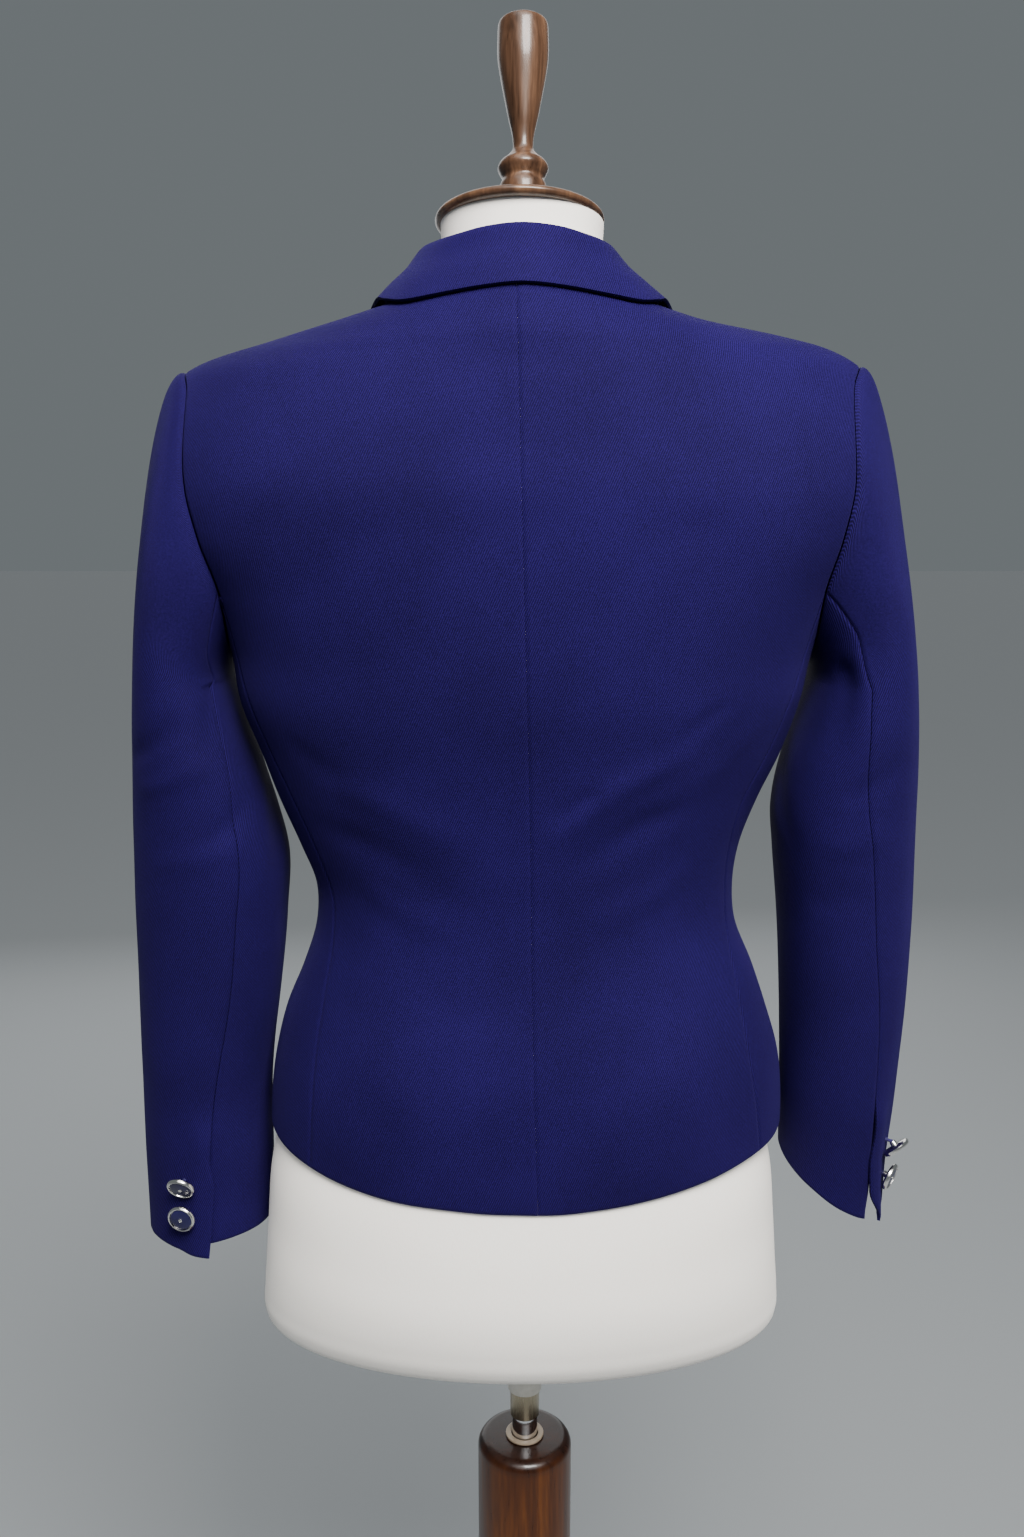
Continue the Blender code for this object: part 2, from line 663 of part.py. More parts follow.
def add_fronts():
    """The two fronts, from the side-front seam, armhole and shoulder to the front edge and roll line."""
    for side in (LEFT, RIGHT):
        levels = BODY_LEVELS + yoke_levels()
        phi, z = body_rows(side, levels, side_front_phi, front_edge_phi, FRONT_COLUMNS)
        outer, inner = body_sheet(side, phi, z, front_lift(side, phi, z))
        shell("front_" + SIDE_NAMES[side], outer, inner, "wool_twill", flip=side == LEFT)


def thicken(middle, wall=WALL, flip=False):
    """Outer and inner face of a sheet from the grid of points half way through it."""
    across = np.cross(np.gradient(middle, axis=1), np.gradient(middle, axis=0))
    across /= np.linalg.norm(across, axis=-1, keepdims=True)
    if flip:
        across = -across
    return middle + across * wall / 2, middle - across * wall / 2


def add_lapels():
    """The turned-back lapels, which lie on the fronts and curl round their roll lines."""
    for side in (LEFT, RIGHT):
        levels = np.append(
            np.linspace(LAPEL_BOTTOM_Z[side], 1350.0, 12 if side == LEFT else 15),
            (1361.0, 1368.0, 1378.0, LAPEL_TOP_Z),
        )
        rows = []
        for level in levels:
            z = np.array(float(level))
            roll_x = float(table(FRONT_EDGE_COLUMNS, FRONT_EDGE_ROWS, "x", z))
            edge_x = float(table(LAPEL_EDGE_COLUMNS, LAPEL_EDGE_ROWS, "x", z))
            start = float(phi_at_x(side, edge_x, z, -1))
            end = float(phi_at_x(side, roll_x + 1.0, z, -1))
            flat = spread(lambda a, z=level: body_point(side, a, z), start, end, LAPEL_COLUMNS, 0.0)
            curl = phi_at_x(side, np.array([roll_x - 1.2, roll_x - 1.9]), z, -1)
            phi = np.append(flat, curl)
            out = np.array([LAPEL_OUT - WALL / 2] * LAPEL_COLUMNS + [0.9, -1.2])
            zs = np.full(len(phi), float(level))
            lift = front_lift(side, phi, zs)
            rows.append(body_point(side, phi, zs) + body_normal(side, phi, zs) * (out + lift)[:, None])
        outer, inner = thicken(np.array(rows), flip=side == LEFT)
        shell("lapel_" + SIDE_NAMES[side], outer, inner, "wool_twill", flip=side == LEFT)


def collar_station(side, row):
    """The middle of the collar's cloth at one station: up the stand, over the fold, down the fall."""
    seam_x, seam_z, seam_face, fold_left, fold_right, fold_y, fold_z, edge_x, edge_z, edge_face, edge_out = row
    fold_x = fold_left if side == LEFT else fold_right
    seam_phi = phi_at_x(side, seam_x, np.array(seam_z), seam_face)
    seam = body_point(side, seam_phi, seam_z)
    edge_phi = phi_at_x(side, edge_x, np.array(edge_z), edge_face)
    edge = body_point(side, edge_phi, edge_z)
    edge = edge + body_normal(side, edge_phi, edge_z) * (edge_out - WALL / 2)
    fold = np.array([side * fold_x, fold_y, fold_z])
    up = (fold - seam) / np.linalg.norm(fold - seam)
    away = edge - seam
    away = away - up * (away @ up)
    away /= np.linalg.norm(away)
    foot = seam + up * (0.9 + WALL / 2) - away * 0.8
    half = min(2.9, 0.35 * float(np.linalg.norm(fold - seam)))
    shoulder = edge + (fold - edge) * 0.66 + away * 0.8
    return [
        foot,
        foot + (fold - foot) * 0.5 - away * 0.4,
        fold - up * half - away * half * 0.75,
        fold - away * half * 0.1,
        fold - up * half * 0.8 + away * half * 0.9,
        shoulder,
        edge + (fold - edge) * 0.33 + away * 1.2,
        edge,
    ]


def add_collar():
    """One collar, from the gorge of the left front round the neck to that of the right."""
    left = [collar_station(LEFT, row) for row in COLLAR_ROWS]
    right = [collar_station(RIGHT, row) for row in COLLAR_ROWS[1:]]
    middle = np.array(left[::-1] + right)
    fine = np.linspace(0, len(middle) - 1, 2 * len(middle) - 1)
    places = np.arange(len(middle))
    smooth = np.empty((len(fine),) + middle.shape[1:])
    for point in range(middle.shape[1]):
        for axis in range(3):
            smooth[:, point, axis] = through(places, middle[:, point, axis], fine)
    outer, inner = thicken(smooth)
    shell("collar", outer, inner, "wool_twill")


def add_pocket_flaps():
    """The pocket flaps, each a sheet that hangs a little off its front."""
    for side in (LEFT, RIGHT):
        down = np.linspace(0, 1, 5)[:, None]
        along = np.linspace(0, 1, 6)[None, :]
        x = FLAP["x_back"] + (FLAP["x_front"] - FLAP["x_back"]) * along + 8.0 * down
        z = FLAP["z_top"] - FLAP["depth"] * down * (1 - 0.06 * along)
        phi = phi_at_x(side, x, z, -1)
        out = FLAP["out"] + FLAP["stand"] * down * (1 - 0.5 * along)
        outer, inner = body_sheet(side, phi[::-1], z[::-1], out[::-1])
        shell("pocket_flap_" + SIDE_NAMES[side], outer, inner, "wool_twill", flip=side == LEFT)


# Sleeves


def sleeve_bottom(side, alpha):
    """Height of the cuff's edge round the sleeve."""
    rows = CUFF_ROWS[side]
    return through(column(CUFF_COLUMNS, rows, "alpha"), column(CUFF_COLUMNS, rows, "z"), alpha)


def sleeve_section(side, alpha, z):
    """A point of the sleeve's tube at height z."""
    rows = SLEEVE_ROWS[side]
    inner = table(SLEEVE_COLUMNS, rows, "inner", z)
    outer = table(SLEEVE_COLUMNS, rows, "outer", z)
    y_front = table(SLEEVE_COLUMNS, rows, "y_front", z)
    y_back = table(SLEEVE_COLUMNS, rows, "y_back", z)
    square = table(SLEEVE_COLUMNS, rows, "square", z)
    c = np.cos(np.radians(alpha))
    s = np.sin(np.radians(alpha))
    x = (inner + outer) / 2 + (outer - inner) / 2 * c * (1 + square * s * s)
    y = (y_front + y_back) / 2 + (y_back - y_front) / 2 * s * (1 + square * c * c)
    return np.stack([side * x, y, z + 0.0 * alpha], -1)


def sleeve_point(side, alpha, level):
    """A point of the sleeve's outer face: level 0 at the armhole, 1 under the cap, 2 at the cuff."""
    alpha, level = np.broadcast_arrays(np.asarray(alpha, float), np.asarray(level, float))
    phi, z = armhole_at(side, alpha)
    start = body_point(side, phi, z) + np.stack([side * (SEAM_GAP + 0.1) + 0 * z, 0 * z, 0 * z], -1)
    end = sleeve_section(side, alpha, CAP_END_Z + 0.0 * alpha)
    fall = start[..., 2] - CAP_END_Z
    top = (1 + np.cos(np.radians(alpha))) / 2
    leave = np.stack(
        [
            side * (CAP_REACH[side] * top**0.8 + 5 * (1 - top)),
            16 * np.sin(np.radians(alpha)),
            -fall * (0.7 - 0.67 * top**1.4),
        ],
        -1,
    )
    below = sleeve_section(side, alpha, CAP_END_Z - 1.0 + 0.0 * alpha)
    arrive = (below - end) * fall[..., None]
    s = np.clip(level, 0, 1)[..., None]
    cap = (
        (2 * s**3 - 3 * s**2 + 1) * start
        + (s**3 - 2 * s**2 + s) * leave
        + (3 * s**2 - 2 * s**3) * end
        + (s**3 - s**2) * arrive
    )
    down = np.maximum(level - 1, 0)
    tube = sleeve_section(side, alpha, CAP_END_Z + (sleeve_bottom(side, alpha) - CAP_END_Z) * down)
    return np.where((level <= 1)[..., None], cap, tube)


def sleeve_normal(side, alpha, level):
    """Outward normal of the sleeve there."""
    level = np.maximum(np.asarray(level, float), 0.002)
    return -side * normals(lambda a, b: sleeve_point(side, a, b), alpha, level)


def sleeve_seam(side, name, level):
    """Where the back or front seam of the sleeve runs."""
    return table(SLEEVE_SEAM_COLUMNS, SLEEVE_SEAM_ROWS[side], name, level)


def vent_share(level):
    """0 above the cuff's vent, 1 in it."""
    return ease((level - VENT_LEVEL) / 0.07)


def sleeve_grid(side, levels, start, end, armhole_alphas):
    """alpha and level of a grid from start(level) to end(level), in step with the armhole at its top."""
    first = np.array(armhole_alphas, float)
    share = (first - first[0]) / (first[-1] - first[0])
    alphas = []
    for level in levels:
        low = start(level)
        high = end(level)
        even = spread(lambda a, v=level: sleeve_point(side, a, v), low, high, len(first), 0.22)
        mix = ease(level / 0.9)
        trim = math.degrees(0.22 / 60.0)
        kept = low + trim + (high - low - 2 * trim) * share
        alphas.append(kept + (even - kept) * mix)
    return np.array(alphas), np.repeat(np.array(levels, float)[:, None], len(first), 1)


def upper_sleeve_faces(side, levels, armhole_alphas):
    """Outer and inner grid of the upper sleeve, whose back edge laps over the vent."""

    def start(level):
        return float(sleeve_seam(side, "front", level)) - 360

    def end(level):
        lap = VENT_LAP[side] * ease((level - VENT_LEVEL - 0.08) / 0.06)
        lap -= (VENT_LAP[side] + VENT_SPREAD[side]) * ease((level - 1.93) / 0.07) * (VENT_SPREAD[side] > 0)
        return float(sleeve_seam(side, "back", level)) + math.degrees(lap / 42.0)

    alpha, level = sleeve_grid(side, levels, start, end, armhole_alphas)
    normal = sleeve_normal(side, alpha, level)
    outer = sleeve_point(side, alpha, level)
    near = alpha - sleeve_seam(side, "back", level)
    lift = VENT_LIFT * vent_share(level) * ease((near + 24) / 18)
    lift += VENT_SPREAD[side] * 0.35 * ease((level - 1.86) / 0.14) * ease((near + 30) / 30)
    outer = outer + normal * lift[..., None]
    outer[..., 2] -= FLAP_DROP[side] * np.clip((near + 56) / 60, 0, 1) ** 1.4 * ease((level - 1.7) / 0.3)
    return outer, outer - normal * WALL


def under_sleeve_faces(side, levels, armhole_alphas):
    """Outer and inner grid of the under sleeve."""

    def start(level):
        spread_mm = VENT_SPREAD[side] * 0.5 * ease((level - 1.93) / 0.07)
        return float(sleeve_seam(side, "back", level)) + math.degrees(spread_mm / 42.0)

    def end(level):
        return float(sleeve_seam(side, "front", level))

    alpha, level = sleeve_grid(side, levels, start, end, armhole_alphas)
    normal = sleeve_normal(side, alpha, level)
    outer = sleeve_point(side, alpha, level)
    return outer, outer - normal * WALL


def add_sleeves():
    """Upper and under sleeve of each arm."""
    for side in (LEFT, RIGHT):
        outer, inner = upper_sleeve_faces(side, SLEEVE_LEVELS, CAP_ALPHAS)
        shell("upper_sleeve_" + SIDE_NAMES[side], outer, inner, "wool_twill", flip=side == LEFT)
        outer, inner = under_sleeve_faces(side, SLEEVE_LEVELS, UNDERARM_ALPHAS)
        shell("under_sleeve_" + SIDE_NAMES[side], outer, inner, "wool_twill", flip=side == LEFT)


# Buttons


def button_profiles(size):
    """Profiles of the metal shell with its shank, and of the face in it."""
    low = size["shank"]
    top = low + size["thick"]
    well = top - 1.3
    reach = size["radius"] - size["rim"]
    metal = (
        (0.0, well),
        (reach, well),
        (reach + 0.2, top - 0.2),
        (size["radius"] - 0.9, top),
        (size["radius"], top - 1.2),
        (size["radius"] - 1.4, low),
        (2.3, low - 0.3),
        (2.0, 0.0),
        (0.0, 0.0),
    )
    face = (
        (0.0, top + 0.1),
        (reach * 0.6, top - 0.1),
        (reach - 0.35, top - 0.6),
        (reach - 0.35, well + 0.3),
        (0.0, well + 0.3),
    )
    return metal, face


def on_cloth(grid, place, normal):
    """Where the cloth's outer face, a grid of points, lies under place."""
    rows, cols = grid.shape[:2]
    faces = []
    for row in range(rows - 1):
        for col in range(cols - 1):
            a = row * cols + col
            faces.append((a, a + 1, a + cols + 1))
            faces.append((a, a + cols + 1, a + cols))
    tree = BVHTree.FromPolygons([Vector(point) for point in grid.reshape(-1, 3)], faces)
    found = tree.ray_cast(Vector(place + normal * 30.0), Vector(-normal))[0]
    return np.array(found) if found else place


def button_pose(size, place, normal, droop):
    """Foot of the shank and direction of the face, with the button's lowest rim just off the cloth."""
    up = np.array([0.0, 0.0, 1.0]) - normal * normal[2]
    up /= np.linalg.norm(up)
    turn = math.radians(droop)
    low = size["shank"] * math.cos(turn) - (size["radius"] - 1.4) * math.sin(turn)
    out = BUTTON_GAP + max(0.0, -low)
    return place + normal * out, normal * math.cos(turn) - up * math.sin(turn)


def add_button(name, size, place, normal, droop=0.0):
    """A button just off the cloth at place, facing along normal unless it droops."""
    metal, face = button_profiles(size)
    foot, facing = button_pose(size, place, normal, droop)
    turn = Vector(facing).to_track_quat("Z", "Y").to_euler()
    for part, profile, look in (("rim", metal, "silver_metal"), ("face", face, "navy_enamel")):
        made = lathe(name + "_" + part, profile, look, BUTTON_STEPS)
        made.location = Vector(foot) * MM
        made.rotation_euler = turn


def add_buttons():
    """Two buttons on each cuff, by the vent, and two down the right front."""
    for name, side, alpha, level, droop in CUFF_BUTTON_ROWS:
        grid = upper_sleeve_faces(side, SLEEVE_LEVELS, CAP_ALPHAS)[0]
        normal = sleeve_normal(side, np.array(alpha), np.array(level))
        place = on_cloth(grid, sleeve_point(side, alpha, level), normal)
        add_button("cuff_button_" + SIDE_NAMES[side] + "_" + name, CUFF_BUTTON, place, normal, droop)
    for name, x, z in FRONT_BUTTON_ROWS:
        phi = phi_at_x(RIGHT, -x, np.array(z), -1)
        normal = body_normal(RIGHT, phi, z)
        place = body_point(RIGHT, phi, z) + normal * float(front_lift(RIGHT, phi, np.array(z)))
        add_button("front_button_" + name, FRONT_BUTTON, place, normal)


# Dress form and stand


def torso_ring(row, spokes):
    """One level section of the torso, as points round it."""
    z, half, back, front, y, n = row
    angle = np.radians(np.arange(spokes) * 360.0 / spokes)
    c = np.cos(angle)
    s = np.sin(angle)
    depth = np.where(s >= 0, back, front)
    radius = ((np.abs(c) / half) ** n + (np.abs(s) / depth) ** n) ** (-1 / n)
    ys = y + radius * s
    lean = math.tan(math.radians(NECK_TILT)) * float(ease((z - 1418.0) / 56.0))
    return np.stack([radius * c, ys, z + 3.0 * float(z > 1470) + ys * lean], -1)


def add_torso():
    """The jersey torso, whole from its rounded bottom to the top of the neck, with a bore for the tube."""
    rings = [torso_ring(row, TORSO_SPOKES) for row in TORSO_ROWS]
    angle = np.radians(np.arange(TORSO_SPOKES) * 360.0 / TORSO_SPOKES)
    reach = TORSO_BORE["radius"]
    bore = np.stack([STAND_X + reach * np.cos(angle), reach * np.sin(angle)], -1)
    low = np.column_stack([bore, np.full(TORSO_SPOKES, TORSO_ROWS[0][0])])
    high = np.column_stack([bore, np.full(TORSO_SPOKES, TORSO_BORE["top"])])
    loops = [high, low] + rings
    points = np.concatenate(loops)
    faces = []
    for loop in range(len(loops) - 1):
        for spoke in range(TORSO_SPOKES):
            a = loop * TORSO_SPOKES + spoke
            b = loop * TORSO_SPOKES + (spoke + 1) % TORSO_SPOKES
            faces.append((a, b, b + TORSO_SPOKES, a + TORSO_SPOKES))
    faces.append(tuple(range(TORSO_SPOKES))[::-1])
    last = (len(loops) - 1) * TORSO_SPOKES
    faces.append(tuple(range(last, last + TORSO_SPOKES)))
    add_mesh("torso", points, faces, "ivory_jersey")


def add_neck():
    """The turned cap on the neck and the knob that stands square to it, both leaning forward."""
    cap = CAP["radius"]
    thick = CAP["thick"]
    disc = (
        (0.0, thick),
        (cap - 3.0, thick),
        (cap - 0.8, thick - 1.6),
        (cap, thick / 2),
        (cap - 0.8, 1.4),
        (cap - 2.5, 0.0),
        (0.0, 0.0),
    )
    knob = FINIAL_ROWS[::-1] + ((0.0, 0.0),)
    lean = math.radians(NECK_TILT)
    pieces = (
        ("neck_cap", disc, STAND_STEPS, CAP["x"], 0.0),
        ("neck_knob", knob, 20, KNOB_X, thick + SEAM_GAP),
    )
    for name, profile, steps, x, height in pieces:
        made = lathe(name, profile, "walnut", steps)
        made.rotation_euler = (lean, 0.0, 0.0)
        y = CAP["y"] - height * math.sin(lean)
        made.location = Vector((x, y, CAP["z"] + height * math.cos(lean))) * MM


def tube(name, size, bottom, top, look):
    """A straight tube on the stand's axis. size holds its radius and inner, and low_radius if it tapers."""
    inner = size["inner"]
    low = size.get("low_radius", size["radius"])
    made = lathe(name, ((inner, top), (size["radius"], top), (low, bottom), (inner, bottom)), look)
    made.location = (STAND_X * MM, 0.0, 0.0)


def quarter_round(radius, height, bend, steps=4):
    """Points of a turned profile that round its edge, from its top out and down to its side."""
    points = []
    for step in range(steps + 1):
        angle = math.radians(90.0 * step / steps)
        points.append((radius - bend + bend * math.sin(angle), height - bend + bend * math.cos(angle)))
    return points


def add_stand():
    """Bush, two tubes, ring, wooden post and base."""
    tube("bush", BUSH, BUSH["bottom"], BUSH["top"], "white_nylon")
    tube("outer_tube", OUTER_TUBE, OUTER_TUBE["bottom"], OUTER_TUBE["top"], "brushed_steel")
    tube("post_ring", RING, RING["z"], RING["z"] + RING["height"], "white_nylon")
    rod = [
        (0.0, INNER_TUBE["top"]),
        (INNER_TUBE["radius"], INNER_TUBE["top"]),
        (INNER_TUBE["radius"], INNER_TUBE["bottom"]),
        (0.0, INNER_TUBE["bottom"]),
    ]
    foot = BASE["height"] + SEAM_GAP
    post = [(0.0, POST["bore_bottom"]), (POST["bore"], POST["bore_bottom"]), (POST["bore"], POST["top"])]
    post += quarter_round(POST["radius"], POST["top"], POST["round"])
    post += [(POST["radius"], foot), (0.0, foot)]
    base = [(0.0, BASE["height"])]
    base += quarter_round(BASE["radius"], BASE["height"], BASE["edge"])
    base += [(BASE["radius"], 0.0), (0.0, 0.0)]
    pieces = (("inner_tube", rod, "chrome"), ("post", post, "brown_wood"), ("base", base, "brown_wood"))
    for name, profile, look in pieces:
        lathe(name, profile, look).location = (STAND_X * MM, 0.0, 0.0)


def clear_scene():
    """Starts from an empty file."""
    for old in list(bpy.data.objects):
        bpy.data.objects.remove(old, do_unlink=True)
    made = bpy.data.collections.new("cropped_blazer")
    bpy.context.scene.collection.children.link(made)


def main():
    clear_scene()
    add_backs()
    add_side_panels()
    add_fronts()
    add_lapels()
    add_collar()
    add_pocket_flaps()
    add_sleeves()
    add_buttons()
    add_torso()
    add_neck()
    add_stand()


main()
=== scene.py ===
"""Looks of a cropped twill blazer on a limbless dress form with a turned wooden stand.

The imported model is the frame: metres, +Z up, floor at z = 0, the jacket's front towards -Y and its
left side towards +X. Tables and named sizes are in millimetres and degrees, and MM turns them into
metres where a mesh is written.

The cloth of the body is one surface of level sections, body_point(side, phi, z), which goes round
from centre back (phi 90) over the side (phi 0) to centre front (phi -90). The sleeve is a second
one, sleeve_point(side, alpha, level): level 0 is the armhole, 1 the end of the cap, 2 the cuff.
Each cut piece is a fine grid on one of them, pressed in at its seams, creased, and given its wall.
"""

import math

import bpy
import numpy as np
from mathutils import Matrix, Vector


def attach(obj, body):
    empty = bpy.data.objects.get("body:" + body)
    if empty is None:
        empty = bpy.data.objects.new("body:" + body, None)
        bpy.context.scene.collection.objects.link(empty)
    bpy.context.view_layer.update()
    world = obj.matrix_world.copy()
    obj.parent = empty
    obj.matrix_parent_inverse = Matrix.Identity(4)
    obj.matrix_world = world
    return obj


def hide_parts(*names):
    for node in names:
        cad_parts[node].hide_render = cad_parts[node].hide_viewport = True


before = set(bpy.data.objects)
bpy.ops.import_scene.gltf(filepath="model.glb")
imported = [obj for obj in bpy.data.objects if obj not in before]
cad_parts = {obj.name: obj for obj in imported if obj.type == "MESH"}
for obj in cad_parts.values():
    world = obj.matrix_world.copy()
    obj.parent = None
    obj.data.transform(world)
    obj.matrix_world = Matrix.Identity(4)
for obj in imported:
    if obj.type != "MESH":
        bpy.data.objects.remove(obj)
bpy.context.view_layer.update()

MM = 0.001
LEFT = 1
RIGHT = -1
SIDE_NAMES = {LEFT: "left", RIGHT: "right"}

# Cloth
WALL = 2.0
CLOTH_BEVEL = 0.5
SEAM_GAP = 0.08
SEAM_DEPTH = 0.6
SEAM_WIDTH = 2.1
EDGE_STEPS = (0.0, 0.5, 1.1, 1.8, 2.8, 4.2)
LAPEL_OUT = 3.2
FRONT_LAP_LIFT = 2.9

# Level sections of the body, from below the hem to the neck seam
BODY_COLUMNS = ("z", "half_left", "half_right", "back", "front", "y_side", "n_back", "n_front")
BODY_ROWS = (
    (885, 168, 173, 104, 101, -6, 2.30, 2.30),
    (905, 168, 174, 104, 100, -6, 2.30, 2.30),
    (930, 167, 174, 103, 99, -6, 2.30, 2.30),
    (960, 163, 171, 100, 97, -6, 2.30, 2.30),
    (991, 155, 162, 94, 95, -6, 2.25, 2.25),
    (1017, 144, 153, 88, 93, -6, 2.25, 2.20),
    (1050, 134, 140, 84, 92, -6, 2.20, 2.20),
    (1075, 134, 138, 84, 95, -6, 2.20, 2.20),
    (1100, 143, 141, 87, 100, -6, 2.25, 2.15),
    (1132, 156, 152, 92, 111, -6, 2.30, 2.10),
    (1161, 166, 165, 97, 121, -6, 2.35, 2.10),
    (1195, 178, 176, 102, 128, -5, 2.40, 2.10),
    (1225, 182, 182, 105, 128, -5, 2.40, 2.10),
    (1260, 194, 194, 106, 120, -4, 2.45, 2.05),
    (1294, 213, 211, 105, 108, -2, 2.45, 2.00),
    (1322, 222, 219, 103, 98, 0, 2.35, 1.90),
    (1349, 224, 220, 99, 88, 0, 2.15, 1.80),
    (1378, 214, 212, 94, 76, 0, 1.85, 1.70),
    (1392, 204, 205, 91, 70, 0, 1.70, 1.60),
    (1399, 193, 196, 89, 66, 1, 1.60, 1.60),
    (1406, 176, 182, 87, 63, 2, 1.55, 1.60),
    (1413, 155, 161, 84, 59, 3, 1.50, 1.60),
    (1420, 134, 137, 80, 55, 4, 1.50, 1.65),
    (1427, 111, 109, 75, 50, 6, 1.50, 1.70),
    (1434, 85, 83, 68, 45, 8, 1.60, 1.80),
)

# Lines cut in the body surface. Their x and y are on the piece's own side: + is its outer side
SHOULDER_Z = 1392.0
SHOULDER_DROP = 4.5
SHOULDER_RISE = {LEFT: 2.5, RIGHT: 6.0}
CAP_REACH = {LEFT: 72.0, RIGHT: 60.0}
ARMHOLE = {"z": 1308.5, "half_height": 83.5, "y": -2.0, "back": 61.0, "front": 57.0}
JOIN_ALPHA = 124.0
JOIN_Z = ARMHOLE["z"] + ARMHOLE["half_height"] * math.cos(math.radians(JOIN_ALPHA))
HEM_ROW_Z = 895.0
BODY_TOP_Z = 1433.0
PANEL_PULL_Z = 1060.0
HEM_FADE_ZS = (HEM_ROW_Z, 915.0, 938.0, 962.0)
HEM_FADE_SHARES = (1.0, 2 / 3, 1 / 3, 0.0)

# Height of the hem round the body: phi is -90 at centre front, 0 at the side, 90 at centre back
HEM_COLUMNS = ("phi", "left", "right")
HEM_ROWS = (
    (-90, 900.0, 900.0),
    (-45, 904.0, 904.0),
    (0, 913.0, 912.5),
    (12, 911.5, 911.5),
    (24, 906.0, 908.0),
    (36, 899.5, 901.5),
    (50, 894.0, 895.5),
    (66, 891.5, 891.3),
    (78, 890.0, 889.5),
    (90, 889.5, 889.5),
)

CENTRE_BACK_COLUMNS = ("z", "x")
CENTRE_BACK_ROWS = ((885, -10.0), (993, -6.9), (1116, -4.9), (1288, -0.3), (1434, 3.6))

SIDE_BACK_COLUMNS = ("z", "left", "right")
SIDE_BACK_ROWS = (
    (885, 134, 153),
    (938, 132, 149),
    (976, 129, 143),
    (1012, 124, 137),
    (1046, 119, 131),
    (1070, 118, 129),
    (1100, 126, 129),
    (1135, 140, 135),
    (1167, 154, 150),
    (1213, 170, 167),
)

SIDE_FRONT_COLUMNS = ("z", "y")
SIDE_FRONT_ROWS = ((885, -52), (1000, -48), (1060, -42), (1160, -50), (1220, -52))

FRONT_EDGE_COLUMNS = ("z", "x")
FRONT_EDGE_ROWS = (
    (890, 44),
    (900, 26),
    (915, 6),
    (935, -8),
    (965, -16),
    (1030, -17),
    (1090, -17),
    (1110, -12),
    (1150, 0),
    (1200, 14),
    (1250, 28),
    (1300, 41),
    (1350, 54),
    (1392, 66),
    (1415, 74),
    (1434, 79),
)

LAPEL_EDGE_COLUMNS = ("z", "x")
LAPEL_EDGE_ROWS = (
    (1092, -13),
    (1110, 2),
    (1150, 29),
    (1200, 56),
    (1250, 78),
    (1300, 96),
    (1340, 110),
    (1362, 118),
    (1368, 114),
    (1380, 93),
    (1392, 72),
)
LAPEL_BOTTOM_Z = {LEFT: 1164.0, RIGHT: 1096.0}
LAPEL_NOTCH_Z = 1356.0
LAPEL_TOP_Z = 1389.0
LAPEL_FLAT_COLUMNS = 20
LAPEL_BELLY = 1.4
# The lapel's turn at the roll line: how far short of the line, and how far off the front
LAPEL_TURN_SHORT = (0.2, 1.2, 1.7, 1.9)
LAPEL_TURN_OUT = (1.8, 0.9, -0.2, -1.2)

# Collar: one strip from the gorge of one front round the neck to the other, in stations
COLLAR_COLUMNS = (
    "seam_x", "seam_z", "seam_face", "fold_left", "fold_right", "fold_y", "fold_z",
    "edge_x", "edge_z", "edge_face", "edge_out",
)
COLLAR_ROWS = (
    (0.0, 1433.0, 1, 0.0, 0.0, 60.0, 1465.8, 0.0, 1431.0, 1, 3.2),
    (22.0, 1433.0, 1, 19.0, 19.0, 57.0, 1464.6, 23.0, 1430.0, 1, 3.2),
    (43.0, 1433.0, 1, 35.0, 34.0, 48.0, 1462.4, 45.0, 1428.5, 1, 3.2),
    (62.0, 1433.0, 1, 47.5, 45.0, 34.0, 1461.4, 66.0, 1427.5, 1, 3.4),
    (76.0, 1433.0, 1, 57.0, 51.5, 17.0, 1460.6, 78.0, 1431.0, 1, 3.8),
    (81.5, 1433.0, 1, 61.5, 53.5, 1.0, 1457.0, 85.0, 1432.8, 1, 4.4),
    (78.4, 1430.0, -1, 64.5, 57.5, -15.0, 1450.0, 97.0, 1424.0, -1, 3.9),
    (74.8, 1418.0, -1, 66.5, 62.5, -34.0, 1434.0, 106.0, 1411.0, -1, 3.7),
    (70.4, 1405.0, -1, 68.0, 67.0, -51.0, 1415.0, 113.0, 1398.0, -1, 3.4),
    (66.6, 1393.0, -1, 66.0, 66.0, -66.0, 1398.0, 95.0, 1381.5, -1, 3.2),
)

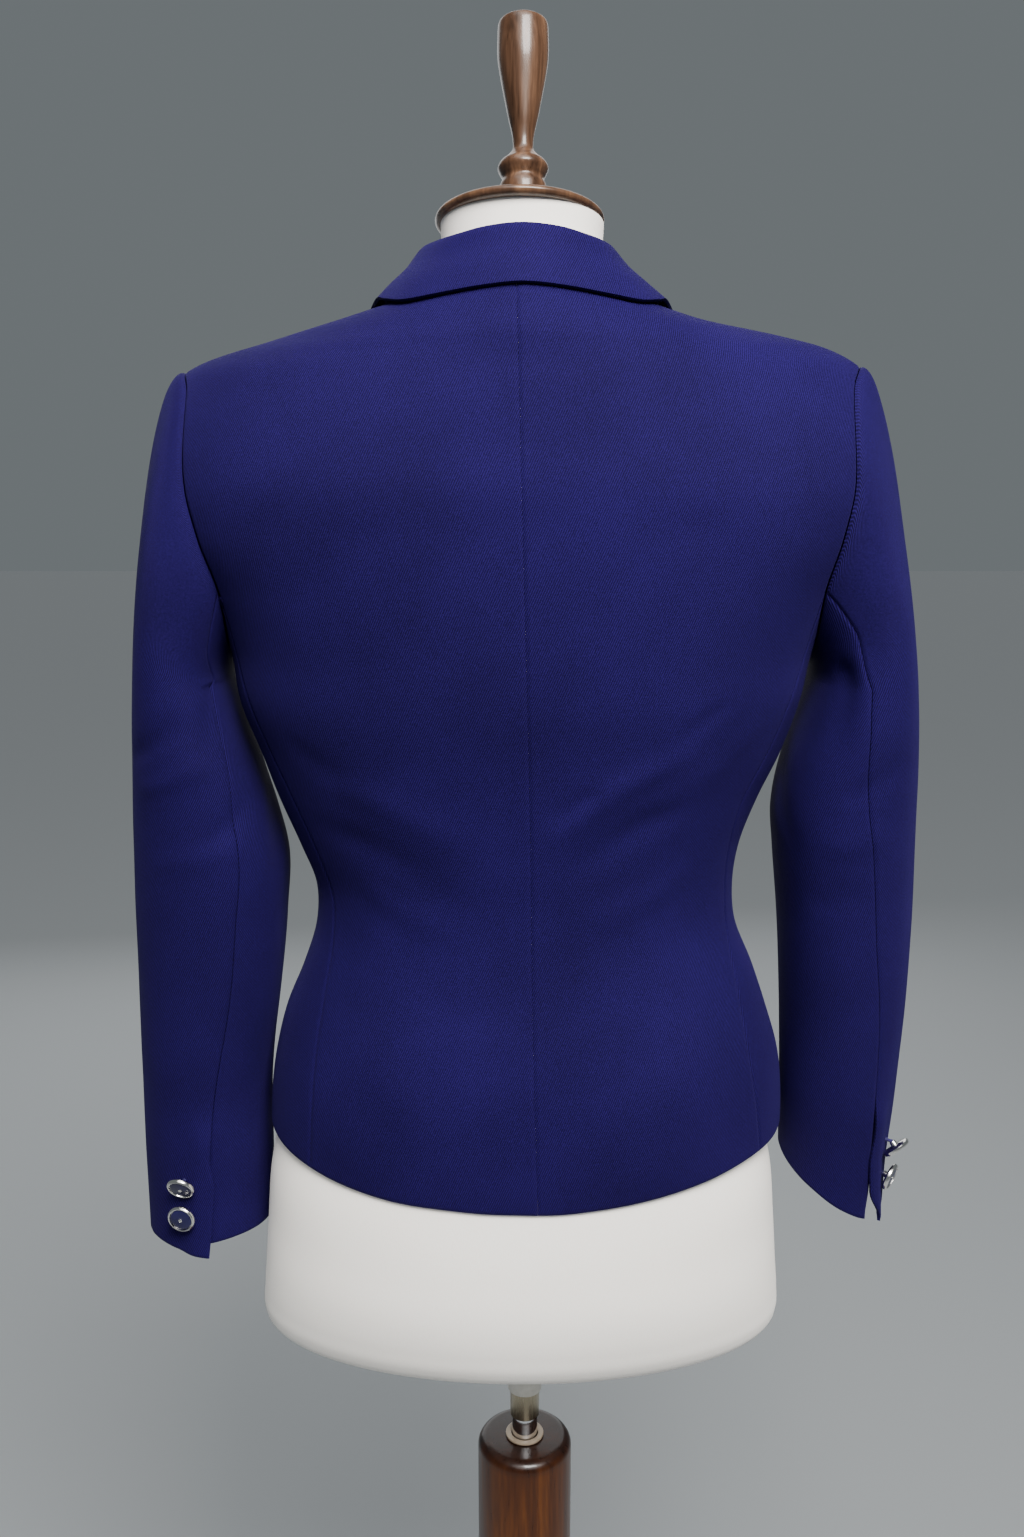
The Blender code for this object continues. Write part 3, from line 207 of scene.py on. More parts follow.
# Sleeve: level sections of the tube below the cap
SLEEVE_COLUMNS = ("z", "inner", "outer", "y_front", "y_back", "square")
SLEEVE_ROWS = {
    LEFT: (
        (1205, 185.5, 242.5, -64, 59, 0.10),
        (1180, 178.5, 245.0, -63, 57, 0.09),
        (1150, 168.5, 247.5, -62, 54, 0.08),
        (1120, 159.5, 250.0, -61, 50, 0.07),
        (1094, 153.5, 251.5, -60, 47, 0.06),
        (1050, 155.5, 253.5, -58, 42, 0.05),
        (991, 162.5, 255.0, -56, 38, 0.04),
        (960, 167.0, 255.5, -55, 36, 0.04),
        (930, 170.0, 256.0, -54, 33, 0.03),
        (882, 170.8, 256.5, -52, 30, 0.02),
        (845, 171.8, 256.5, -51, 28, 0.02),
        (810, 173.5, 256.5, -50, 27, 0.02),
    ),
    RIGHT: (
        (1205, 185.5, 247.0, -64, 59, 0.10),
        (1180, 178.0, 250.0, -63, 57, 0.09),
        (1150, 168.5, 252.5, -62, 54, 0.08),
        (1120, 164.0, 254.0, -61, 50, 0.07),
        (1094, 166.0, 255.0, -60, 47, 0.06),
        (1050, 170.5, 256.5, -58, 43, 0.05),
        (991, 174.5, 256.5, -56, 39, 0.04),
        (930, 177.0, 253.0, -54, 36, 0.03),
        (882, 178.0, 249.0, -52, 33, 0.02),
        (845, 178.5, 248.5, -51, 31, 0.02),
        (810, 179.0, 249.0, -50, 30, 0.02),
    ),
}
CAP_END_Z = 1205.0
CAP_LENGTH = 185.0
TUBE_LENGTH = 372.0
ROUND_MM = 0.72

# Where the two sleeve seams run, in degrees round the sleeve: 0 is its outer side, 90 its back
SLEEVE_SEAM_COLUMNS = ("level", "back", "front")
SLEEVE_SEAM_ROWS = {
    LEFT: (
        (0.0, 124, 236), (0.5, 138, 233), (1.0, 147, 230), (1.12, 136, 228), (1.25, 124, 226),
        (1.38, 119, 226), (1.56, 116, 224), (1.73, 107, 223), (1.86, 100, 222), (2.0, 93, 222),
    ),
    RIGHT: (
        (0.0, 124, 236), (0.5, 117, 234), (1.0, 104, 232), (1.08, 97, 232), (1.16, 91, 231),
        (1.27, 83, 230), (1.48, 77, 229), (1.58, 72, 228), (1.79, 66, 227), (2.0, 58, 226),
    ),
}

# Lower edge of the cuff, in degrees round the sleeve
CUFF_HALF = 42.0
CUFF_COLUMNS = ("alpha", "z")
CUFF_ROWS = {
    LEFT: ((-140, 838), (-90, 836), (0, 827), (60, 828), (92, 829), (125, 832), (180, 834), (220, 838)),
    RIGHT: ((-140, 880), (-90, 872), (0, 855), (60, 847), (93, 856), (128, 869), (180, 881), (220, 880)),
}
VENT_LEVEL = 1.74
VENT_OPEN_LEVEL = 1.93
VENT_LIFT = 2.9
VENT_LAP = {LEFT: 4.0, RIGHT: 3.0}
FLAP_DROP = {LEFT: 9.0, RIGHT: 4.0}
VENT_SPREAD = {LEFT: 0.0, RIGHT: 8.0}

# Pocket flaps on the fronts: x along the pocket, z down
FLAP = {"x_front": 62.0, "x_back": 126.0, "z_top": 1062.0, "depth": 54.0, "out": 2.9, "stand": 3.0}

# Creases of the body: the face they lie on, their ends, half width and height. Troughs are negative
BODY_CREASES = (
    # face, x0, z0, x1, z1, width, height, bow
    ("back", -92, 1168, -16, 1119, 8.5, 2.1, 4.0),
    ("back", -96, 1137, -32, 1098, 9.0, -2.3, 5.0),
    ("back", -120, 1200, -92, 1178, 5.0, -1.1, 1.0),
    ("back", -44, 1150, -20, 1130, 5.0, -1.5, 1.0),
    ("back", -140, 1190, -102, 1150, 7.0, 1.1, -3.0),
    ("back", -100, 1094, -40, 1066, 9.0, 1.2, -3.0),
    ("back", 112, 1150, 34, 1112, 10.0, 1.4, -4.0),
    ("back", 120, 1122, 48, 1084, 10.0, -1.7, -5.0),
    ("back", 138, 1176, 104, 1152, 7.0, -0.9, 2.0),
    ("back", 96, 1086, 40, 1060, 9.0, 1.0, 3.0),
    ("back", 78, 1300, 120, 1262, 14.0, -0.8, 4.0),
    ("back", -84, 1308, -128, 1262, 15.0, -0.9, -4.0),
    ("back", 60, 930, 96, 986, 15.0, 1.0, 4.0),
    ("back", -66, 926, -112, 990, 15.0, 1.1, -4.0),
    ("front", 104, 1168, 38, 1102, 10.0, 1.2, 4.0),
    ("front", 112, 1132, 44, 1076, 9.0, -1.2, 5.0),
    ("front", -110, 1172, -34, 1098, 10.0, 1.2, -4.0),
    ("front", -116, 1128, -46, 1070, 10.0, -1.3, -5.0),
    ("front", 118, 1046, 60, 1004, 9.0, 0.8, -3.0),
    ("front", -112, 1040, -40, 1010, 9.0, 0.8, 3.0),
    ("front", 132, 1290, 108, 1240, 12.0, -1.1, 4.0),
    ("front", -134, 1294, -106, 1238, 12.0, -1.2, -4.0),
)

# Creases of the sleeves: side, then the ends in degrees round and level, half width and height
SLEEVE_CREASES = (
    # side, a0, level0, a1, level1, width, height
    (LEFT, 40, 1.12, 112, 1.05, 7.0, -1.7),
    (LEFT, 52, 1.17, 118, 1.12, 6.0, 1.4),
    (LEFT, 96, 1.27, 150, 1.18, 7.0, -1.8),
    (LEFT, 60, 1.30, 122, 1.26, 8.0, 0.9),
    (LEFT, 150, 0.95, 118, 1.12, 7.0, -1.5),
    (LEFT, -60, 1.16, -10, 1.24, 8.0, 1.0),
    (LEFT, -96, 1.22, -30, 1.30, 8.0, -1.3),
    (LEFT, 20, 1.42, 34, 1.78, 11.0, -0.9),
    (LEFT, 150, 1.34, 190, 1.16, 8.0, -1.4),
    (LEFT, 8, 0.52, 20, 0.98, 12.0, -0.8),
    (RIGHT, 140, 0.62, 124, 1.12, 7.0, -2.0),
    (RIGHT, 122, 0.60, 106, 1.08, 7.0, 1.4),
    (RIGHT, 104, 1.20, 62, 1.12, 8.0, -1.2),
    (RIGHT, 118, 1.30, 70, 1.25, 9.0, 1.1),
    (RIGHT, 128, 1.42, 92, 1.36, 9.0, -1.0),
    (RIGHT, -58, 1.14, -8, 1.22, 8.0, 1.0),
    (RIGHT, -92, 1.24, -28, 1.29, 8.0, -1.3),
    (RIGHT, 150, 1.30, 188, 1.14, 8.0, -1.4),
    (RIGHT, 12, 1.40, 22, 1.80, 11.0, -0.9),
    (RIGHT, 14, 0.50, 24, 0.95, 12.0, -0.9),
)

# Buttons, which stand off the cloth on a shank
CUFF_BUTTON = {"radius": 9.3, "thick": 3.6, "shank": 2.8, "rim": 1.8}
FRONT_BUTTON = {"radius": 11.5, "thick": 4.0, "shank": 3.0, "rim": 2.5}
# Name, side, degrees round and level, and the degrees that the face hangs down on its thread
CUFF_BUTTON_PLACES = (
    ("upper", LEFT, 79.0, 1.872, 27.0),
    ("lower", LEFT, 78.0, 1.937, 4.0),
    ("upper", RIGHT, 40.0, 1.85, 42.0),
    ("lower", RIGHT, 40.0, 1.918, 14.0),
)
BUTTON_GAP = 0.7
FRONT_BUTTON_PLACES = (("upper", 0.0, 1078.0), ("lower", 0.0, 984.0))

# Dress form: level sections of the torso
TORSO_COLUMNS = ("z", "half", "back", "front", "y", "n")
TORSO_ROWS = (
    (763, 163, 77, 86, 0, 2.0),
    (765, 170, 82.5, 91, 0, 2.0),
    (769, 174.5, 87, 95, 0, 2.0),
    (776, 176.5, 91.5, 99, 0, 2.02),
    (790, 176, 96, 103, 0, 2.08),
    (812, 174, 100, 105, 0, 2.15),
    (845, 171.5, 101, 104, -1, 2.2),
    (883, 168, 98, 99, -2, 2.3),
    (920, 160, 93, 92, -4, 2.3),
    (970, 146, 84, 84, -6, 2.2),
    (1020, 126, 74, 79, -7, 2.2),
    (1060, 117, 68, 78, -7, 2.2),
    (1100, 123, 72, 84, -7, 2.2),
    (1150, 142, 82, 103, -7, 2.1),
    (1200, 156, 90, 113, -6, 2.1),
    (1250, 161, 93, 106, -5, 2.1),
    (1300, 168, 92, 91, -3, 2.1),
    (1345, 170, 87, 76, -2, 2.0),
    (1384, 164, 80, 63, 0, 1.9),
    (1403, 147, 74, 54, 2, 1.9),
    (1416, 116, 68, 49, 5, 1.9),
    (1424.7, 84, 61, 46, 8, 1.9),
    (1434, 66, 52, 46, 8, 2.0),
    (1446, 53, 44, 47, 6, 2.0),
    (1458, 48.6, 42, 48, 5, 2.0),
    (1473.6, 48.6, 42, 49, 4, 2.0),
)
TORSO_SPOKES = 160
# Heights of the torso's rings: from, to and how many
TORSO_RINGS = ((763.0, 810.0, 26), (814.0, 1380.0, 110), (1384.0, 1473.6, 44))
NECK_TILT = 9.0

# Stand, bottom to top
STAND_X = -3.0
BASE = {"radius": 190.0, "height": 28.0, "edge": 9.0}
POST = {"radius": 33.0, "foot": 28.3, "top": 667.0, "round": 7.0, "bore": 9.2, "bore_bottom": 559.7}
RING = {"radius": 13.4, "inner": 9.4, "bottom": 667.3, "top": 668.9}
INNER_TUBE = {"radius": 8.9, "bottom": 560.0, "top": 905.0, "chamfer": 0.6}
OUTER_TUBE = {"radius": 10.2, "inner": 9.2, "bottom": 684.0, "top": 930.0}
BUSH = {"radius": 13.0, "low_radius": 11.7, "inner": 10.5, "bottom": 704.0, "top": 762.7}
TORSO_BORE = {"radius": 10.5, "top": 935.0}
TURNED_SIDES = 96
CAP = {"radius": 50.5, "thick": 6.0, "z": 1477.0, "x": 1.4, "y": 2.0}
KNOB_X = -0.6
KNOB_TIP = (2.0, 115.6)
KNOB_ROWS = (
    # radius, height
    (14.8, 0.0),
    (14.6, 8.0),
    (14.0, 17.0),
    (12.4, 21.5),
    (13.8, 24.5),
    (15.1, 28.0),
    (13.6, 31.5),
    (9.5, 35.0),
    (6.4, 39.0),
    (6.1, 44.0),
    (7.0, 50.0),
    (8.9, 58.0),
    (11.9, 73.0),
    (14.6, 88.0),
    (15.3, 96.0),
    (15.2, 106.0),
    (14.7, 112.8),
    (12.6, 115.0),
)

# Camera, as the photograph was taken: from behind, a little above the shoulders
CAMERA_PLACE = (6.0, 830.0, 1300.0)
CAMERA_PITCH = 10.4
CAMERA_LENS = 30.66
SENSOR_WIDTH = 36.0

# Floor, surround and lights: place and target in metres, size of the square, watts, colour
FLOOR_SIZE = 80.0
FLOOR_GAP = 0.0005
FLOOR_COLOUR = (0.25, 0.265, 0.275, 1.0)
SURROUND_COLOUR = (0.150, 0.168, 0.176, 1.0)
EVEN_LIGHT = 1.85
EVEN_LIGHT_SPREAD = 60.0
EVEN_LIGHT_TURN = (-38.0, -8.0, 0.0)
LIGHTS = (
    ("key", (-0.35, 1.25, 2.45), (0.0, 0.0, 1.3), 0.8, 93.0, (1.0, 0.98, 0.95)),
    ("top", (0.2, 0.4, 3.0), (0.0, 0.0, 1.3), 1.2, 10.0, (1.0, 0.99, 0.98)),
    ("front", (0.4, -2.6, 2.1), (0.0, 0.0, 1.1), 3.2, 46.0, (1.0, 1.0, 1.0)),
)


# Tables and curves


def column(columns, rows, name):
    """One named column of a table."""
    place = columns.index(name)
    return np.array([row[place] for row in rows], float)


def bend(s, start, leave, end, arrive):
    """The curve from start to end at share s, which leaves and arrives in those directions."""
    return (
        (2 * s**3 - 3 * s**2 + 1) * start
        + (s**3 - 2 * s**2 + s) * leave
        + (3 * s**2 - 2 * s**3) * end
        + (s**3 - s**2) * arrive
    )


def through(xs, ys, x):
    """Value at x of the smooth curve through the points (xs, ys), straight beyond its ends."""
    xs = np.asarray(xs, float)
    ys = np.asarray(ys, float)
    if xs[0] > xs[-1]:
        xs, ys = xs[::-1], ys[::-1]
    x = np.asarray(x, float)
    steps = np.diff(xs)
    slopes = np.diff(ys) / steps
    tangents = np.empty(len(xs))
    tangents[0] = slopes[0]
    tangents[-1] = slopes[-1]
    tangents[1:-1] = (slopes[:-1] * steps[1:] + slopes[1:] * steps[:-1]) / (steps[:-1] + steps[1:])
    place = np.clip(np.searchsorted(xs, x) - 1, 0, len(steps) - 1)
    inside = np.clip(x, xs[0], xs[-1])
    step = steps[place]
    s = (inside - xs[place]) / step
    value = bend(s, ys[place], step * tangents[place], ys[place + 1], step * tangents[place + 1])
    return value + np.where(x < xs[0], tangents[0], tangents[-1]) * (x - inside)


def table(columns, rows, name, x):
    """The named column of a table at x, its first column."""
    return through(column(columns, rows, columns[0]), column(columns, rows, name), x)


def ease(x):
    """0 to 1, soft at both ends."""
    x = np.clip(x, 0.0, 1.0)
    return x * x * (3 - 2 * x)


def normals(point, a, b):
    """Unit normals of the surface point(a, b), where a and b turn it outward in that order."""
    step = 1e-3
    along_a = point(a + step, b) - point(a - step, b)
    along_b = point(a, b + step) - point(a, b - step)
    across = np.cross(along_a, along_b)
    return across / np.linalg.norm(across, axis=-1, keepdims=True)


# Body surface


def body_half(x, z):
    """Half width of the section at height z on the side of the world x."""
    left = table(BODY_COLUMNS, BODY_ROWS, "half_left", z)
    right = table(BODY_COLUMNS, BODY_ROWS, "half_right", z)
    return np.where(x >= 0, left, right)


def body_depth(face, z):
    """Depth and squareness of the section at height z, where face is + at the back."""
    back = table(BODY_COLUMNS, BODY_ROWS, "back", z)
    front = table(BODY_COLUMNS, BODY_ROWS, "front", z)
    n_back = table(BODY_COLUMNS, BODY_ROWS, "n_back", z)
    n_front = table(BODY_COLUMNS, BODY_ROWS, "n_front", z)
    return np.where(face >= 0, back, front), np.where(face >= 0, n_back, n_front)


def body_point(side, phi, z):
    """A point of the body's outer face, as an array ending in x, y, z."""
    phi, z = np.broadcast_arrays(np.asarray(phi, float), np.asarray(z, float))
    c = np.cos(np.radians(phi))
    s = np.sin(np.radians(phi))
    half = body_half(side * c, z)
    depth, n = body_depth(s, z)
    radius = ((np.abs(c) / half) ** n + (np.abs(s) / depth) ** n) ** (-1 / n)
    y = table(BODY_COLUMNS, BODY_ROWS, "y_side", z) + radius * s
    drop = SHOULDER_DROP * ease((z - 1380.0) / 32.0) * np.clip(c, 0, 1) ** 2
    drop = drop - SHOULDER_RISE[side] * ease((z - 1342.0) / 50.0) * ease((radius * c - 100.0) / 90.0)
    return np.stack([side * radius * c, y, z - drop], -1)


def body_normal(side, phi, z):
    """Outward normal of the body there."""
    return side * normals(lambda a, b: body_point(side, a, b), np.asarray(phi, float), np.asarray(z, float))


def body_face(side, phi, z):
    """Points of the body's outer face, and its normals there."""
    return body_point(side, phi, z), body_normal(side, phi, z)


def phi_at_x(side, x, z, face):
    """Where the back (face 1) or front (face -1) has this x, measured outward on its own side."""
    half = body_half(side * x, z)
    depth, n = body_depth(face, z)
    y = depth * np.clip(1 - (np.abs(x) / half) ** n, 0, 1) ** (1 / n)
    return np.degrees(np.arctan2(face * y, x))


def phi_at_y(side, y, z):
    """Where the side has this y."""
    away = y - table(BODY_COLUMNS, BODY_ROWS, "y_side", z)
    half = body_half(side, z)
    depth, n = body_depth(away, z)
    x = half * np.clip(1 - (np.abs(away) / depth) ** n, 0, 1) ** (1 / n)
    return np.degrees(np.arctan2(away, x))


def armhole_y(z, face):
    """y of the armhole at height z, on its back (1) or front (-1) half."""
    up = np.clip((z - ARMHOLE["z"]) / ARMHOLE["half_height"], -1, 1)
    reach = ARMHOLE["back"] if face > 0 else ARMHOLE["front"]
    return ARMHOLE["y"] + face * reach * np.sqrt(1 - up**2)


def armhole_at(side, alpha):
    """phi and z of the armhole, where alpha is 0 at the shoulder and 90 at the back."""
    z = ARMHOLE["z"] + ARMHOLE["half_height"] * np.cos(np.radians(alpha))
    s = np.sin(np.radians(alpha))
    y = ARMHOLE["y"] + np.where(s > 0, ARMHOLE["back"], ARMHOLE["front"]) * s
    return phi_at_y(side, y, z), z


def side_back_phi(side, z):
    """The seam between back and side panel, then the back of the armhole, then the shoulder seam."""
    join = body_point(side, phi_at_y(side, armhole_y(JOIN_Z, 1), JOIN_Z), JOIN_Z)
    zs = np.append(column(SIDE_BACK_COLUMNS, SIDE_BACK_ROWS, "z"), JOIN_Z)
    xs = np.append(column(SIDE_BACK_COLUMNS, SIDE_BACK_ROWS, SIDE_NAMES[side]), abs(join[0]))
    seam = phi_at_x(side, through(zs, xs, z), z, 1)
    armhole = phi_at_y(side, armhole_y(z, 1), z)
    return np.where(z <= JOIN_Z, seam, np.where(z <= SHOULDER_Z, armhole, 0.0))


def side_front_phi(side, z):
    """The seam between side panel and front, then the front of the armhole, then the shoulder seam."""
    zs = np.append(column(SIDE_FRONT_COLUMNS, SIDE_FRONT_ROWS, "z"), JOIN_Z)
    ys = np.append(column(SIDE_FRONT_COLUMNS, SIDE_FRONT_ROWS, "y"), armhole_y(JOIN_Z, -1))
    seam = phi_at_y(side, through(zs, ys, z), z)
    armhole = phi_at_y(side, armhole_y(z, -1), z)
    return np.where(z <= JOIN_Z, seam, np.where(z <= SHOULDER_Z, armhole, 0.0))


def centre_back_phi(side, z):
    """The centre back seam, which leans a little across the back."""
    return phi_at_x(side, side * table(CENTRE_BACK_COLUMNS, CENTRE_BACK_ROWS, "x", z), z, 1)


def front_edge_phi(side, z):
    """The front edge, then the roll line that the lapel turns on, up to the neck."""
    return phi_at_x(side, table(FRONT_EDGE_COLUMNS, FRONT_EDGE_ROWS, "x", z), z, -1)


def hem_z(side, phi):
    """Height of the hem round the body."""
    return table(HEM_COLUMNS, HEM_ROWS, SIDE_NAMES[side], phi)


# Sleeve surface


def sleeve_bottom(side, alpha):
    """Height of the cuff's edge round the sleeve."""
    rows = CUFF_ROWS[side]
    return through(column(CUFF_COLUMNS, rows, "alpha"), column(CUFF_COLUMNS, rows, "z"), alpha)


def sleeve_section(side, alpha, z):
    """A point of the sleeve's tube at height z."""
    rows = SLEEVE_ROWS[side]
    inner = table(SLEEVE_COLUMNS, rows, "inner", z)
    outer = table(SLEEVE_COLUMNS, rows, "outer", z)
    y_front = table(SLEEVE_COLUMNS, rows, "y_front", z)
    y_back = table(SLEEVE_COLUMNS, rows, "y_back", z)
    square = table(SLEEVE_COLUMNS, rows, "square", z)
    c = np.cos(np.radians(alpha))
    s = np.sin(np.radians(alpha))
    x = (inner + outer) / 2 + (outer - inner) / 2 * c * (1 + square * s * s)
    y = (y_front + y_back) / 2 + (y_back - y_front) / 2 * s * (1 + square * c * c)
    return np.stack([side * x, y, z + 0.0 * alpha], -1)


def sleeve_point(side, alpha, level):
    """A point of the sleeve's outer face: level 0 at the armhole, 1 under the cap, 2 at the cuff."""
    alpha, level = np.broadcast_arrays(np.asarray(alpha, float), np.asarray(level, float))
    phi, z = armhole_at(side, alpha)
    start = body_point(side, phi, z) + np.stack([side * (SEAM_GAP + 0.1) + 0 * z, 0 * z, 0 * z], -1)
    end = sleeve_section(side, alpha, CAP_END_Z + 0.0 * alpha)
    fall = start[..., 2] - CAP_END_Z
    top = (1 + np.cos(np.radians(alpha))) / 2
    leave = np.stack(
        [
            side * (CAP_REACH[side] * top**0.8 + 5 * (1 - top)),
            16 * np.sin(np.radians(alpha)),
            -fall * (0.7 - 0.67 * top**1.4),
        ],
        -1,
    )
    below = sleeve_section(side, alpha, CAP_END_Z - 1.0 + 0.0 * alpha)
    arrive = (below - end) * fall[..., None]
    cap = bend(np.clip(level, 0, 1)[..., None], start, leave, end, arrive)
    down = np.maximum(level - 1, 0)
    tube = sleeve_section(side, alpha, CAP_END_Z + (sleeve_bottom(side, alpha) - CAP_END_Z) * down)
    return np.where((level <= 1)[..., None], cap, tube)


def sleeve_normal(side, alpha, level):
    """Outward normal of the sleeve there."""
    level = np.maximum(np.asarray(level, float), 0.002)
    return -side * normals(lambda a, b: sleeve_point(side, a, b), alpha, level)


def sleeve_face(side, alpha, level):
    """Points of the sleeve's outer face, and its normals there."""
    return sleeve_point(side, alpha, level), sleeve_normal(side, alpha, level)


def sleeve_seam(side, name, level):
    """Where the back or front seam of the sleeve runs."""
    return table(SLEEVE_SEAM_COLUMNS, SLEEVE_SEAM_ROWS[side], name, level)


def vent_share(level):
    """0 above the cuff's vent, 1 in it."""
    return ease((level - VENT_LEVEL) / 0.07)


# Grids of the cut pieces


def cloth_places(length, count, trim):
    """count places along a row of that length, closer together at its two seams."""
    edge = np.array(EDGE_STEPS) + trim
    if length < 4 * edge[-1]:
        return np.linspace(trim, length - trim, count)
    inner = np.linspace(edge[-1] + 2.0, length - edge[-1] - 2.0, count - 2 * len(edge))
    return np.concatenate([edge, inner, length - edge[::-1]])


def spread(point, start, end, count, trim=SEAM_GAP / 2):
    """count values from start to end, set out along point(value) as cloth_places says."""
    fine = np.linspace(start, end, 241)
    run = np.append(0.0, np.cumsum(np.linalg.norm(np.diff(point(fine), axis=0), axis=1)))
    return np.interp(cloth_places(run[-1], count, trim), run, fine)


def body_levels(top_z):
    """Heights of the rows of a body piece, from its hem row up to top_z."""
    hem = HEM_ROW_Z + np.array(EDGE_STEPS)
    middle = np.linspace(HEM_ROW_Z + 7.0, SHOULDER_Z - 2.0, 152)
    shoulder = np.linspace(SHOULDER_Z, BODY_TOP_Z, 48)
    levels = np.concatenate([hem, middle, shoulder])
    return levels[levels <= top_z]


def hem_share(levels):
    """How much of the hem's own height a row takes, 1 at the hem row."""
    return np.interp(levels, HEM_FADE_ZS, HEM_FADE_SHARES)


def level_phis(side, levels, start_phi, end_phi, count):
    """phi of each point of a grid on the body: a row per level, from start_phi(z) to end_phi(z)."""
    phis = []
    for level in levels:
        start = float(start_phi(side, np.array(level)))
        end = float(end_phi(side, np.array(level)))
        phis.append(spread(lambda a, z=level: body_point(side, a, z), start, end, count))
    return np.array(phis)


def body_rows(side, start_phi, end_phi, count):
    """phi and z of a grid on the body, from the hem to the neck."""
    levels = body_levels(BODY_TOP_Z)
    phis = level_phis(side, levels, start_phi, end_phi, count)
    drop = hem_z(side, phis[0]) - HEM_ROW_Z
    return phis, levels[:, None] + hem_share(levels)[:, None] * drop


def side_rows(side, count):
    """phi and z of the side panel, whose top row lies along the lower armhole."""
    alpha = np.interp(np.linspace(0, 1, count), (0, 1), (JOIN_ALPHA, 360 - JOIN_ALPHA))
    top_phi, top_z = armhole_at(side, alpha)
    top_phi[0] -= 0.2
    top_phi[-1] += 0.2
    levels = np.append(body_levels(JOIN_Z - 2.0), JOIN_Z - np.array(EDGE_STEPS)[1::-1])
    phis = level_phis(side, levels, side_back_phi, side_front_phi, count)
    pull = ease((levels - PANEL_PULL_Z) / (levels[-1] - PANEL_PULL_Z))[:, None]
    phis = phis + (top_phi - phis[-1]) * pull
    zs = levels[:, None] + (top_z - SEAM_GAP - levels[-1]) * pull
    drop = hem_z(side, phis[0]) - HEM_ROW_Z
    return phis, zs + hem_share(levels)[:, None] * drop


def front_lift(side, phi, z):
    """How far the right front is moved out, where it laps over the left one."""
    if side == LEFT:
        return np.zeros_like(z)
    own_x = side * body_point(side, phi, z)[..., 0]
    return FRONT_LAP_LIFT * ease((44.0 - own_x) / 24.0) * ease((1230.0 - z) / 50.0)


def crease_share(across, along, ends, width, bow):
    """A soft ridge from ends[0] to ends[1] in a plane, 1 on its line and fading at both ends."""
    start = np.array(ends[0], float)
    run = np.array(ends[1], float) - start
    length = float(np.hypot(run[0], run[1]))
    run /= length
    t = ((across - start[0]) * run[0] + (along - start[1]) * run[1]) / length
    off = (across - start[0]) * -run[1] + (along - start[1]) * run[0]
    off = off - bow * 4 * t * (1 - t)
    fade = ease((t + 0.18) / 0.5) * ease((1.22 - t) / 0.55)
    return np.exp(-((off / (width * (0.75 + 0.5 * np.clip(t, 0, 1)))) ** 2)) * fade


def body_creases(points):
    """Height of the body's creases at points of its surface."""
    x = points[..., 0]
    y = points[..., 1]
    z = points[..., 2]
    height = np.zeros_like(x)
    for face, x0, z0, x1, z1, width, high, bow in BODY_CREASES:
        sign = 1 if face == "back" else -1
        on_face = ease((sign * y - 6.0) / 40.0)
        height += high * on_face * crease_share(x, z, ((x0, z0), (x1, z1)), width, bow)
    return height


def sleeve_creases(side, alpha, level):
    """Height of the sleeve's creases there."""
    turned = (alpha + 140.0) % 360.0 - 140.0
    round_mm = turned * ROUND_MM
    down_mm = CAP_LENGTH * np.minimum(level, 1) + TUBE_LENGTH * np.maximum(level - 1, 0)
    height = np.zeros_like(round_mm)
    for owner, a0, level0, a1, level1, width, high in SLEEVE_CREASES:
        if owner != side:
            continue
        down = [CAP_LENGTH * min(v, 1) + TUBE_LENGTH * max(v - 1, 0) for v in (level0, level1)]
        ends = ((a0 * ROUND_MM, down[0]), (a1 * ROUND_MM, down[1]))
        height += high * crease_share(round_mm, down_mm, ends, width, 0.0)
    head = ease(level / 0.05) * ease((0.30 - level) / 0.25)
    height += 0.9 * head * np.clip(np.cos(np.radians(turned)), 0, 1)
    return height


def seam_press(grid, edges):
    """How far each point of a grid is pressed in, at the edges named: first, last, low, high."""
    steps = np.linalg.norm(np.diff(grid, axis=1), axis=-1)
    run = np.concatenate([np.zeros((len(grid), 1)), np.cumsum(steps, axis=1)], axis=1)
    rises = np.linalg.norm(np.diff(grid, axis=0), axis=-1)
    rise = np.concatenate([np.zeros((1, grid.shape[1])), np.cumsum(rises, axis=0)], axis=0)
    away = {"first": run, "last": run[:, -1:] - run, "low": rise, "high": rise[-1:] - rise}
    press = np.zeros(grid.shape[:2])
    for edge in edges:
        press = np.maximum(press, 1 - ease(away[edge] / SEAM_WIDTH))
    return SEAM_DEPTH * press


def pressed(outer, normal, edges):
    """A piece's outer grid, pressed in at its sewn edges."""
    return outer - normal * seam_press(outer, edges)[..., None]


# Blender objects


def ride(made, body, node):
    """The finished piece moves with its body and stands for its CAD node."""
    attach(made, body)
    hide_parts(node)
    return made


def deselect():
    """Leaves nothing selected."""
    bpy.ops.object.select_all(action="DESELECT")


def pick(made):
    """Selects one object alone and makes it the active one."""
    deselect()
    made.select_set(True)
    bpy.context.view_layer.objects.active = made


def apply_modifiers(made):
    """Applies each modifier of an object, in order."""
    pick(made)
    for modifier in list(made.modifiers):
        bpy.ops.object.modifier_apply(modifier=modifier.name)


